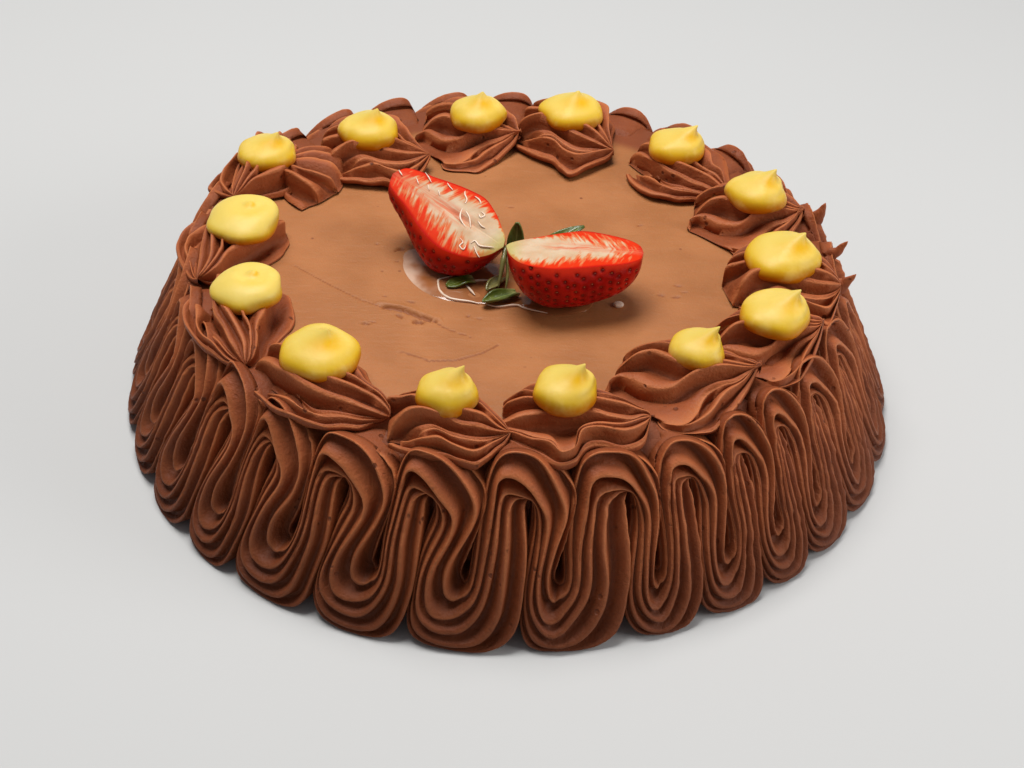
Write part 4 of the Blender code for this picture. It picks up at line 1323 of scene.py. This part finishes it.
def strand_columns(crests, hollows):
    """Columns across the strand: angle, height, depth and nearness to a crest, row by row."""
    edges = []
    for edge, inner in ((0, 1), (-1, -2)):
        outer = crests[:, edge].copy()
        outer[:, :2] += (crests[:, edge, :2] - crests[:, inner, :2]) * EDGE_STRETCH
        outer[:, 2] += EDGE_DEPTH
        outer[:, 1] = numpy.minimum(outer[:, 1], BODY_HEIGHT + EDGE_RISE)
        edges.append(outer[:, None])
    lines = numpy.concatenate([edges[0], crests, edges[1]], axis=1)
    columns = []
    ridges = []
    last = lines.shape[1] - 2
    for channel in range(last + 1):
        start = lines[:, channel]
        end = lines[:, channel + 1]
        gap = numpy.hypot((end[:, 0] - start[:, 0]) * CREST_FOOT_RADIUS, end[:, 1] - start[:, 1])
        depth = numpy.minimum(CHANNEL_LIMIT, CHANNEL_DEPTH + CHANNEL_SLOPE * gap)
        if channel == HOLLOW_CHANNEL:
            depth = depth + hollows
        if channel in (0, last):
            depth = depth * 0
        crest = numpy.minimum(CREST_LIMIT, CREST_HALF_WIDTH / numpy.maximum(gap, MM))
        for part in CHANNEL_SHARES:
            inside = numpy.clip((part - crest) / (1 - 2 * crest), 0, 1) ** CHANNEL_SKEW
            column = blend(start, end, part)
            column[:, 2] += depth * numpy.sin(math.pi * inside) ** CHANNEL_ROUNDNESS
            columns.append(column)
            near = 1 - math.sin(math.pi * part) ** RIDGE_FALL
            outside = (channel == 0 and part < 0.5) or (channel == last and part > 0.5)
            ridges.append(0.0 if outside else near)
    columns.append(lines[:, -1])
    ridges.append(0.0)
    return numpy.stack(columns, axis=1), ridges


def make_piping(material):
    """The strand of cream round the side, with sharp crests and hollow channels between them."""
    table, hollows = station_table()
    whole_turn = numpy.array((2 * math.pi, 0, 0))
    crests = smoothed(rows_between(table, whole_turn), whole_turn)
    columns, ridges = strand_columns(crests, rows_between(hollows, 0.0))
    row_count, column_count = columns.shape[:2]
    points = []
    ridge_values = []
    for row in range(row_count):
        rising = row // ROWS_PER_STATION % len(STATIONS) < RISING_STATIONS
        for column in range(column_count):
            angle, height, depth = (float(value) for value in columns[row, column])
            shown = clamped(1 - (depth - HIDDEN_DEPTH) / HIDDEN_FADE)
            shift = WOBBLE * side_noise(angle, height, WOBBLE_LENGTH, SIDEWAYS_SEED)
            drop = WOBBLE * side_noise(angle, height, WOBBLE_LENGTH, UPWARDS_SEED)
            tear = TEAR if rising or column < TORN_COLUMNS else SMOOTH_TEAR * TEAR
            tear *= 1 + RIGHT_TEAR * max(0.0, math.cos(angle))
            tear *= ridges[column] * shown
            tear *= 0.5 + side_noise(angle, height, TEAR_LENGTH, TEAR_SEED)
            angle += shift / CREST_TOP_RADIUS
            height = max(FLOOR_CLEARANCE, height + drop * min(1.0, height / STEADY_FOOT))
            radius = crest_radius(angle, height) - max(0.0, depth) - max(0.0, tear)
            inner_limit = wall_radius(height) if height < BODY_HEIGHT else WALL_TOP_RADIUS - EDGE_DEPTH
            points.append(polar(angle, max(radius, inner_limit), height))
            ridge_values.append(ridges[column] * shown)
    faces = grid_faces(row_count, column_count, wrap_rows=True)
    for column in (0, column_count - 1):
        base = len(points)
        for row in range(row_count):
            start = row * column_count + column
            rim = points[start]
            height = min(rim.z, BODY_HEIGHT - MM)
            reach = min(math.hypot(rim.x, rim.y), wall_radius(height)) - EDGE_TUCK
            points.append(polar(math.atan2(rim.y, rim.x), reach, height))
            ridge_values.append(0.0)
            after = (row + 1) % row_count
            faces.append((start, after * column_count + column, base + after, base + row))
    make_piece(
        "cream_piping", points, faces, material, "truffle_cream", "side_piping", ridge=ridge_values
    )


def drop_seat(place, drop):
    """Height of the hollow that a drop's underside presses into the cream."""
    angle, radius, width, height = drop[:4]
    centre = polar(math.radians(angle), radius * MM, 0)
    spread = math.hypot(place.x - centre.x, place.y - centre.y) / (width / 2 * MM)
    return DROP_BASE + SEAT_RISE * height * MM * spread**3


def folded(ribs):
    """A shell's ribs with one more fold between the edge of its skirt and the next rib."""
    fold = []
    for index, (low, high) in enumerate(zip(ribs[0], ribs[1])):
        middle = [blend(a, b, FOLD_PLACE) for a, b in zip(low, high)]
        middle[2] += FOLD_RISE * math.sin(math.pi * (index + 1) / (len(ribs[0]) + 1))
        fold.append(tuple(middle))
    return (ribs[0], tuple(fold), *ribs[1:])


def shell_ribs(ribs, size, left_reach, right_reach, draw):
    """A shell's ribs as smooth rows of places in metres that run together in the tail."""
    lines = []
    for rib in ribs:
        shift = [draw.uniform(-SHELL_JITTER, SHELL_JITTER) for axis in range(3)]
        knots = []
        for along, right, height in rib:
            if right < 0:
                more = left_reach - 1
                height += SHELL_LEFT_RISE * more
                along *= 1 + SHELL_LEFT_SPREAD * more * min(1.0, -right / SHELL_LEFT_FULL)
            right *= left_reach if right < 0 else right_reach
            knot = []
            for value, offset in zip((along, right, height), shift):
                value = value + offset + draw.uniform(-SHELL_JITTER, SHELL_JITTER) / 2
                knot.append(value * size * MM)
            knots.append(tuple(knot))
        lines.append(knots)
    tip = numpy.mean([line[-1] for line in lines], axis=0)
    tip += numpy.array((SHELL_TIP_LENGTH, 0.0, 0.0)) * size * MM
    rows = [smooth_line(line + [tuple(tip)], SHELL_ROWS + 1) for line in lines]
    return numpy.array(rows).transpose(1, 0, 2)


def shell_columns(crests, top_rib):
    """Places across a shell with a hollow between neighbouring ribs, and nearness to a rib."""
    columns = []
    count = crests.shape[1]
    away = crests[:, 0] - crests[:, 1]
    away[:, 2] = 0
    away /= numpy.maximum(numpy.linalg.norm(away, axis=1), SHORTEST_STEP)[:, None]
    steps = len(SHELL_TUCK)
    for number, (out, down) in enumerate(SHELL_TUCK):
        column = crests[:, 0] + away * out * MM
        column[:, 2] -= down * MM
        columns.append((number - steps, column, TUCK_RIDGE * number / steps))
    for channel in range(count - 1):
        start = crests[:, channel]
        end = crests[:, channel + 1]
        gap = numpy.linalg.norm(end - start, axis=1)
        depth = numpy.minimum(SHELL_CHANNEL_LIMIT, SHELL_CHANNEL_SLOPE * gap + SHELL_CHANNEL)
        depth = numpy.minimum(depth, SHELL_CHANNEL_SHARE * gap)
        lip = numpy.minimum(CREST_LIMIT, SHELL_LIP / numpy.maximum(gap, MM))
        outward = channel < top_rib
        for part in SHELL_PARTS:
            part = part if outward else 1 - part
            inside = numpy.clip((part - lip) / (1 - 2 * lip), 0, 1)
            inside = inside**SHELL_SKEW if outward else 1 - (1 - inside) ** SHELL_SKEW
            bowl = 4 * inside * (1 - inside)
            lean = SHELL_OVERHANG * bowl * (part if outward else part - 1)
            column = start + (end - start) * (part + lean)[:, None]
            column[:, 2] = blend(start[:, 2], end[:, 2], part) - depth * bowl
            near = 1 - math.sin(math.pi * part) ** RIDGE_FALL
            columns.append((channel + part, column, near if channel + part < count - 1 else 0.0))
    columns.append((count - 1.0, crests[:, -1], 0.0))
    columns.sort(key=lambda item: item[0])
    ridges = [item[2] for item in columns]
    return numpy.stack([item[1] for item in columns], axis=1), ridges


def make_shell(name, replaced, centre, shell, top_rib, drop, seed, material):
    """A shell of piped cream whose wavy ribs run together in its tail."""
    ribs, travel, size, left_reach, right_reach = shell
    crests = shell_ribs(ribs, size, left_reach, right_reach, random.Random(seed))
    columns, ridges = shell_columns(crests, top_rib)
    row_count, column_count = columns.shape[:2]
    turn = Matrix.Rotation(math.radians(travel), 3, "Z")
    room = SHELL_OUTER_LIMIT - SHELL_BEND_RADIUS
    points = []
    for row in range(row_count):
        for column in range(column_count):
            along, right, height = columns[row, column]
            point = centre + turn @ Vector((along, -right, height))
            point += SHELL_FOLD * noise.noise_vector(point / SHELL_FOLD_LENGTH)
            point.z += BODY_HEIGHT
            radius = math.hypot(point.x, point.y)
            if radius > SHELL_BEND_RADIUS:
                reach = SHELL_OUTER_LIMIT - room * math.exp((SHELL_BEND_RADIUS - radius) / room)
                point.x *= reach / radius
                point.y *= reach / radius
            if drop is not None:
                point.z = min(point.z, drop_seat(point, drop))
            at_edge = column < 2 or column == column_count - 1
            point.z = max(point.z, BODY_HEIGHT + (-SHELL_FOOT if at_edge else SHELL_FOOT))
            points.append(point)
    faces = grid_faces(row_count, column_count)
    make_piece(name, points, faces, material, "truffle_cream", replaced, ridge=ridges * row_count)


def swirl_ribs():
    """Ribs of the fan-shaped swirl; the first and last lie flat along its edges."""
    ribs = []
    for index, (along, right) in enumerate(SWIRL_FEET):
        edge = index in (0, len(SWIRL_FEET) - 1)
        rib = []
        for share, height in SWIRL_PROFILE:
            sway = SWIRL_SWAY * math.sin(math.pi * share) * (1 if right > 0 else -1)
            place = (blend(along, SWIRL_TAIL[0], share), blend(right, SWIRL_TAIL[1], share) + sway)
            rib.append((*place, min(height, SWIRL_EDGE_HEIGHT) if edge else height))
        ribs.append(tuple(rib))
    return tuple(ribs)


def make_shells(material):
    for index, (drop, shell) in enumerate(zip(DROPS, SHELLS)):
        number = f"{index + 1:02d}"
        centre = polar(math.radians(drop[0]), drop[1] * MM, 0)
        shell = (folded(shell[0]), *shell[1:])
        names = (f"cream_shell_{number}", f"top_shell_{number}")
        make_shell(*names, centre, shell, SHELL_TOP_RIB, drop, index, material)
    centre = Vector((*SWIRL_CENTRE, 0)) * MM
    swirl = (swirl_ribs(), SWIRL_TRAVEL, 1.0, 1.0, 1.0)
    names = ("cream_swirl", "start_swirl")
    make_shell(*names, centre, swirl, SWIRL_TOP_RIB, None, SWIRL_SEED, material)


def make_drop(name, replaced, drop, seed, material):
    """A soft drop of lemon cream, drawn up to a point that leans over."""
    angle, radius, width, height, lean_x, lean_y = drop
    flat = height < FLAT_DROP_HEIGHT
    profile = smooth_line(FLAT_PROFILE if flat else PEAKED_PROFILE, DROP_RINGS)
    shade_level, shade_spread = FLAT_TIP_SHADE if flat else PEAKED_TIP_SHADE
    place = polar(math.radians(angle), radius * MM, DROP_BASE)
    lean = Vector((lean_x, lean_y, 0)) * MM
    points = []
    levels = []
    tip_shades = []
    for spread, level in profile:
        level = max(0.0, level)
        tip = max(0.0, level - DROP_TIP_START) / (1 - DROP_TIP_START)
        for step in range(DROP_SEGMENTS):
            turn = 2 * math.pi * step / DROP_SEGMENTS
            out = Vector((math.cos(turn), math.sin(turn), 0))
            lump = noise.noise(out * DROP_UNEVEN_SCALE + Vector((seed, level, 0)))
            uneven = 1 + DROP_UNEVEN * lump * (1 - tip)
            reach = max(0.0, spread) * width / 2 * MM * uneven
            point = place + out * reach + lean * tip**DROP_LEAN_CURVE
            point.z += level * height * MM
            point += DROP_WAVE * noise.noise_vector(point / DROP_WAVE_LENGTH) * (1 - tip)
            points.append(point)
            # Painted shade beside the tip, on the side turned from the light
            facing = 0.5 - 0.5 * math.sin(turn - TIP_SHADE_TURN)
            levels.append(level)
            tip_shades.append(bell((level - shade_level) / shade_spread) * facing**2)
    faces = grid_faces(DROP_RINGS, DROP_SEGMENTS, wrap_columns=True)
    make_piece(name, points, faces, material, "yellow_cream", replaced, level=levels, tip=tip_shades)


def smooth_outline(outline):
    """Shares of the length and widths along a smoothed outline."""
    return tuple(zip(*smooth_line(outline, OUTLINE_POINTS)))


def width_at(outline, share):
    return float(numpy.interp(share, *outline))


def cut_share(bulge):
    """Width of the cut face as a share of the fruit's, where the skin bulges beyond the cut."""
    sweep = numpy.linspace(0, math.pi / 2, 90)
    return 1 / float(numpy.max(numpy.cos(sweep) * (1 + bulge * numpy.sin(sweep))))


def row_share(row):
    """Places of the rows along a berry, closer together at both ends."""
    return (1 - math.cos(math.pi * row / BERRY_ROWS)) / 2


class Berry:
    """Half a strawberry that lies on its round side, with places on its skin and its cut face."""

    def __init__(self, name, stem, turns, sizes, edges, deep_edge, bands, bulges):
        self.name = name
        self.wave = stem[0]
        self.half_width, self.depth, self.length = (value * MM for value in sizes)
        self.deep_edge = smooth_outline(deep_edge)
        cuts = [cut_share(bulge) for bulge in bulges]
        self.sides = tuple(zip(map(smooth_outline, edges), bands, bulges, cuts))
        heading, rise, roll = (math.radians(turn) for turn in turns)
        self.axis = polar(heading, math.cos(rise), math.sin(rise))
        side = Vector((0, 0, 1)).cross(self.axis).normalized()
        self.normal = self.axis.cross(side) * math.cos(roll) + side * math.sin(roll)
        self.across = self.normal.cross(self.axis)
        self.stem = Vector((stem[0] * MM, stem[1] * MM, 0))

    def girth(self, edge, share):
        wave = noise.noise(Vector((RIM_WAVE_SCALE * share, self.wave, edge[1][1])))
        return width_at(edge, share) * (1 + RIM_WAVE * wave)

    def skin_place(self, share, sweep, sink=0.0):
        """A place on the round side, from the stem, swept from one edge of the cut to the other."""
        edge, band, bulge, cut = self.sides[0 if sweep < math.pi / 2 else 1]
        swell = -math.cos(sweep) * (1 + bulge * math.sin(sweep)) * cut
        width = swell * max(0.0, self.girth(edge, share) * self.half_width - sink)
        deep = -math.sin(sweep) * max(0.0, width_at(self.deep_edge, share) * self.depth - sink)
        return self.axis * (share * self.length) + self.across * width + self.normal * deep

    def face_place(self, share, side, lift):
        """A place over the cut face, by shares of the length and of the half width."""
        along = self.axis * (share * self.length)
        return self.stem + along + self.across * (side * self.half_width) + self.normal * lift

    def outward(self, place):
        return (place - self.axis * place.dot(self.axis)).normalized()

    def seed_places(self):
        """Places of the seeds on the round side, in staggered rows."""
        places = []
        draw = random.Random(SEED_DRAW)
        for row in range(SEED_ROWS):
            share = FIRST_SEED_ROW + SEED_ROW_SPAN * row / (SEED_ROWS - 1)
            girth = math.pi * width_at(self.deep_edge, share) * (self.half_width + self.depth) / 2
            count = max(2, int(girth / SEED_SPACING))
            for index in range(count):
                number = index + (0.75 if row % 2 else 0.25)
                number += draw.uniform(-SEED_JITTER, SEED_JITTER)
                sweep = math.pi * number / (count + 0.5)
                moved = share + draw.uniform(-SEED_JITTER, SEED_JITTER) / SEED_ROWS
                if SEED_EDGE < sweep < math.pi - SEED_EDGE:
                    places.append(self.skin_place(moved, sweep))
        return places

    def make_skin(self, seeds, material):
        """The round side with its pits; it also sets the stem's height, so that it lies down."""
        points = []
        pits = []
        rims = []
        for row in range(BERRY_ROWS + 1):
            share = row_share(row)
            for column in range(BERRY_SKIN_COLUMNS + 1):
                sweep = math.pi * column / BERRY_SKIN_COLUMNS
                point = self.skin_place(share, sweep)
                nearest = min((point - seed).length for seed in seeds)
                pit = max(0.0, 1 - (nearest / SEED_PIT_RADIUS) ** 2)
                point = self.skin_place(share, sweep, SEED_PIT_DEPTH * pit)
                wave = SKIN_WAVE * noise.noise(point / SKIN_WAVE_LENGTH)
                points.append(point + wave * math.sin(sweep) * self.outward(point))
                pits.append(pit)
                rims.append(math.sin(sweep))
        self.stem.z = BODY_HEIGHT - min(point.z for point in points)
        points = [self.stem + point for point in points]
        faces = grid_faces(BERRY_ROWS + 1, BERRY_SKIN_COLUMNS + 1)
        names = (f"berry_{self.name}_skin", f"strawberry_{self.name}")
        make_piece(names[0], points, faces, material, "strawberry", names[1], pit=pits, rim=rims)

    def make_face(self, material):
        """The cut face, slightly domed, with ripples and a hollow core."""
        points = []
        values = {"along": [], "across": [], "inward": []}
        for row in range(BERRY_ROWS + 1):
            share = row_share(row)
            tip_room = (1 - share) * self.length / self.half_width
            for column in range(BERRY_FACE_COLUMNS + 1):
                place = 2 * column / BERRY_FACE_COLUMNS - 1
                edge, band, bulge, cut = self.sides[0 if place < 0 else 1]
                girth = self.girth(edge, share) * cut
                hollow = CORE_DEPTH * bell(place / CORE_HALF_WIDTH)
                hollow *= bell((share - CORE_PLACE) / CORE_REACH)
                spot = Vector((share * RIPPLE_SCALE[0], place * RIPPLE_SCALE[1], self.wave))
                ripple = RIPPLE * noise.noise(spot) * (1 - place**6) * girth
                lift = FACE_DOME * (1 - place**4) * girth - hollow + ripple
                points.append(self.face_place(share, place * girth, lift))
                red = blend(*band, clamped((share - BAND_START) / BAND_SPAN))
                values["along"].append(share)
                values["across"].append(place * girth)
                values["inward"].append(min(1 - abs(place), tip_room) / red)
        name = f"berry_{self.name}_face"
        faces = grid_faces(BERRY_ROWS + 1, BERRY_FACE_COLUMNS + 1)
        add_piece(name, mesh_from_points(name, points, faces, **values), material)

    def make_seeds(self, seeds, material):
        work = bmesh.new()
        for place in seeds:
            out = self.outward(place)
            frame = Matrix((self.axis, out.cross(self.axis).normalized(), out)).transposed().to_4x4()
            spot = Matrix.Translation(self.stem + place - out * SEED_SINK)
            shape = spot @ frame @ Matrix.Diagonal((*SEED_SIZE, 1))
            bmesh.ops.create_icosphere(work, subdivisions=1, radius=1, matrix=shape)
        name = f"berry_{self.name}_seeds"
        add_piece(name, mesh_from_work(name, work), material)


def make_leaf(number, leaf, material):
    """A thin pointed leaf with veins that lifts and curls along its length."""
    x, y, heading, length, width, curl, tilt, roll, paleness = leaf
    roll = math.radians(roll)
    name = f"calyx_blade_{number:02d}"
    points = []
    veins = []
    feet = []
    for row in range(LEAF_ROWS + 1):
        share = row / LEAF_ROWS
        fullness = math.sin(math.pi * min(LEAF_LIMIT, LEAF_START + LEAF_SPAN * share))
        half = width / 2 * fullness**LEAF_FULLNESS
        lift = curl * share * share + LEAF_SWAY * math.sin(5 * share)
        for column in range(LEAF_COLUMNS + 1):
            place = 2 * column / LEAF_COLUMNS - 1
            side = half * math.sin(roll * place) / roll
            cup = half * (1 - math.cos(roll * place)) / roll
            ruffle = LEAF_RUFFLE * math.sin(8 * share + 2 * place + number) * place * place
            points.append((share * length * MM, side * MM, (lift + cup + ruffle) * MM))
            turn = 2 * math.pi * (SIDE_VEINS * share - SIDE_VEIN_SLANT * abs(place))
            side_vein = SIDE_VEIN_STRENGTH * max(0.0, math.cos(turn)) ** 6
            veins.append(max(1 - MIDRIB_NARROWNESS * abs(place), side_vein * (1 - abs(place) ** 4)))
            feet.append(share)
    values = {"vein": veins, "foot": feet, "pale": [paleness] * len(feet)}
    mesh = mesh_from_points(name, points, grid_faces(LEAF_ROWS + 1, LEAF_COLUMNS + 1), **values)
    mesh.transform(
        Matrix.Translation((x * MM, y * MM, BODY_HEIGHT + LEAF_LIFT))
        @ Matrix.Rotation(math.radians(heading), 4, "Z")
        @ Matrix.Rotation(-math.radians(tilt), 4, "Y")
    )
    blade = add_piece(name, mesh, material, f"calyx_leaf_{number:02d}")
    solid = blade.modifiers.new("thickness", "SOLIDIFY")
    solid.thickness = LEAF_THICKNESS
    solid.offset = 0


def add_string(points, faces, line, width):
    """Adds a thin rounded string along a line of places, thinner at both ends."""
    line = [Vector(place) for place in smooth_line(line, STRING_POINTS)]
    start = len(points)
    for index, place in enumerate(line):
        ahead = (line[min(index + 1, STRING_POINTS - 1)] - line[max(index - 1, 0)]).normalized()
        side = ahead.cross(Vector((0, 0, 1))).normalized()
        other = side.cross(ahead)
        share = index / (STRING_POINTS - 1)
        swell = 1 + STRING_SWELL * noise.noise(place / STRING_SWELL_LENGTH)
        reach = width * MM * swell * math.sqrt(max(STRING_END, math.sin(math.pi * share)))
        for number in range(STRING_SIDES):
            turn = 2 * math.pi * number / STRING_SIDES
            points.append(place + (side * math.cos(turn) + other * math.sin(turn)) * reach)
    add_tube_faces(faces, start, STRING_POINTS, STRING_SIDES)


def make_stalk(material):
    """The torn stalk and two thin sepals that lie between the halves."""
    points = []
    faces = []
    for width, line in STALK:
        add_string(points, faces, [tuple(value * MM for value in place) for place in line], width)
    count = len(points)
    values = {"vein": [0.0] * count, "foot": [1.0] * count, "pale": [STALK_PALENESS] * count}
    make_piece("calyx_stalk", points, faces, material, "calyx", **values)


def make_glaze(material):
    """A thin pool of clear glaze with a round rim, under and beside the berries."""
    outline = smooth_line(GLAZE_OUTLINE, len(GLAZE_OUTLINE) * GLAZE_STEPS, closed=True)
    centre = Vector((*GLAZE_CENTRE, 0))
    points = []
    milks = []
    for ring in range(GLAZE_RINGS + 1):
        share = math.sin(math.pi / 2 * ring / GLAZE_RINGS)
        edge = math.sqrt(max(0.0, 1 - share**GLAZE_RIM))
        for x, y in outline:
            place = centre.lerp(Vector((x, y, 0)), share) * MM
            ripple = GLAZE_LEVEL + GLAZE_RIPPLE * noise.noise(place / GLAZE_RIPPLE_LENGTH)
            height = BODY_HEIGHT - GLAZE_SINK + GLAZE_THICKNESS * edge * ripple
            points.append((place.x, place.y, height))
            off = math.hypot(place.x / MM - MILKY_PLACE[0], place.y / MM - MILKY_PLACE[1])
            milks.append(bell(off / MILKY_REACH) * share**2)
    steps = len(outline)
    faces = grid_faces(GLAZE_RINGS + 1, steps, wrap_columns=True)
    rim = GLAZE_RINGS * steps
    floor = len(points)
    points += [(x * MM, y * MM, BODY_HEIGHT - GLAZE_FLOOR) for x, y in outline]
    for index in range(steps):
        follow = (index + 1) % steps
        faces.append((rim + index, rim + follow, floor + follow, floor + index))
    faces.append(tuple(range(floor, floor + steps)))
    milks += [0.0] * steps
    make_piece("glaze_pool", points, faces, material, "strawberry", milk=milks)


def make_gel(berry, material):
    """Strings of gel on the cake and on a strawberry's cut face, and one bead."""
    points = []
    faces = []
    height = BODY_HEIGHT + CAKE_STRING_LIFT
    for width, line in CAKE_STRINGS:
        add_string(points, faces, [(x * MM, y * MM, height) for x, y in line], width)
    for width, line in FACE_STRINGS:
        places = []
        for along, side in line:
            lift = FACE_DOME * (1 - (side / FACE_STRING_LIMIT) ** 4) - FACE_STRING_SINK
            places.append(tuple(berry.face_place(along, side, lift)))
        add_string(points, faces, places, width * FACE_STRING_SIZE)
    make_piece("gel_strings", points, faces, material, "strawberry")
    work = bmesh.new()
    place = Matrix.Translation((BEAD_PLACE[0] * MM, BEAD_PLACE[1] * MM, BODY_HEIGHT + BEAD_LIFT))
    shape = place @ Matrix.Diagonal(BEAD_SHAPE)
    bmesh.ops.create_icosphere(work, subdivisions=3, radius=BEAD_RADIUS, matrix=shape)
    for vert in work.verts:
        vert.co += BEAD_WAVE * noise.noise_vector(vert.co / BEAD_WAVE_LENGTH)
    add_piece("gel_bead", mesh_from_work("gel_bead", work), material)


def make_flaps(material):
    """Small pointed flaps of cream that stand up from the rim of the piping."""
    points = []
    ridge_values = []
    faces = []
    for number, (foot, tip, width) in enumerate(FLAPS):
        foot = Vector(foot) * MM
        tip = Vector(tip) * MM
        axis = (tip - foot).normalized()
        side = axis.cross(Vector((0, 1, 0))).normalized()
        other = axis.cross(side)
        start = len(points)
        for ring in range(FLAP_RINGS + 1):
            share = ring / FLAP_RINGS
            centre = foot.lerp(tip, share) - side * MM * FLAP_BEND * math.sin(math.pi * share)
            for segment in range(FLAP_SIDES):
                turn = 2 * math.pi * segment / FLAP_SIDES
                lump = noise.noise(Vector((2 * math.cos(turn), 5 * share, number)))
                reach = width * MM * (1 - share) ** FLAP_CURVE * (1 + FLAP_UNEVEN * lump) + FLAP_TIP
                out = side * math.cos(turn) + other * math.sin(turn) * FLAP_THICKNESS
                points.append(centre + out * reach)
                ridge_values.append(FLAP_RIDGE * share)
        add_tube_faces(faces, start, FLAP_RINGS + 1, FLAP_SIDES)
    make_piece("cream_flaps", points, faces, material, "truffle_cream", ridge=ridge_values)


def make_camera():
    pan = math.radians(CAMERA_PAN)
    pitch = math.radians(CAMERA_PITCH)
    roll = math.radians(CAMERA_ROLL)
    forward = Vector((math.sin(pan) * math.cos(pitch), math.cos(pan) * math.cos(pitch), -math.sin(pitch)))
    level = forward.cross(Vector((0, 0, 1))).normalized()
    upright = level.cross(forward)
    right = level * math.cos(roll) + upright * math.sin(roll)
    top = upright * math.cos(roll) - level * math.sin(roll)
    data = bpy.data.cameras.new("camera")
    data.sensor_width = SENSOR_WIDTH
    data.lens = FOCAL_PIXELS / PHOTO_WIDTH * SENSOR_WIDTH
    data.clip_start = CLIP_START
    camera = bpy.data.objects.new("camera", data)
    turn = Matrix((right, top, -forward)).transposed().to_4x4()
    camera.matrix_world = Matrix.Translation(CAMERA_PLACE) @ turn
    bpy.context.scene.collection.objects.link(camera)
    bpy.context.scene.camera = camera


def add_area_light(name, place, target, size, power, color):
    data = bpy.data.lights.new(name, "AREA")
    data.shape = "RECTANGLE"
    data.size, data.size_y = size
    data.energy = power
    data.color = color
    light = bpy.data.objects.new(name, data)
    light.location = place
    light.rotation_euler = (Vector(target) - Vector(place)).to_track_quat("-Z", "Y").to_euler()
    bpy.context.scene.collection.objects.link(light)


def make_stage():
    """A pale floor, pale surroundings and large soft lights from above."""
    world = bpy.data.worlds.new("surroundings")
    world.use_nodes = True
    background = world.node_tree.nodes["Background"]
    background.inputs["Color"].default_value = WORLD_COLOR
    background.inputs["Strength"].default_value = WORLD_STRENGTH
    bpy.context.scene.world = world
    bpy.context.scene.view_settings.view_transform = "Standard"
    for light in LIGHTS:
        add_area_light(*light)
    half = FLOOR_SIZE / 2
    corners = ((-half, -half, 0), (half, -half, 0), (half, half, 0), (-half, half, 0))
    mesh = mesh_from_points("floor", corners, [(0, 1, 2, 3)])
    mesh.materials.append(floor_material())
    floor = bpy.data.objects.new("floor", mesh)
    bpy.context.scene.collection.objects.link(floor)


def make_fruit():
    """Both halves of the strawberry, the calyx between them, and the glaze."""
    skin = skin_material()
    flesh = flesh_material()
    seed_look = seed_material()
    berries = [Berry(*berry) for berry in BERRIES]
    for berry in berries:
        seeds = berry.seed_places()
        berry.make_skin(seeds, skin)
        berry.make_face(flesh)
        berry.make_seeds(seeds, seed_look)
    leaf_look = leaf_material()
    for index, leaf in enumerate(LEAVES):
        make_leaf(index + 1, leaf, leaf_look)
    make_stalk(leaf_look)
    make_glaze(glaze_material())
    make_gel(berries[0], gel_glint_material())


def main():
    noise.seed_set(NOISE_SEED)
    clear_scene()
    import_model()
    make_camera()
    make_stage()
    cream = cream_material()
    make_body(top_material())
    make_piping(cream)
    make_shells(cream)
    make_flaps(cream)
    lemon = lemon_material()
    for index, drop in enumerate(DROPS):
        number = f"{index + 1:02d}"
        make_drop(f"lemon_drop_{number}", f"cream_drop_{number}", drop, index * DROP_SEED_STEP, lemon)
    make_fruit()
    bpy.context.view_layer.update()


main()
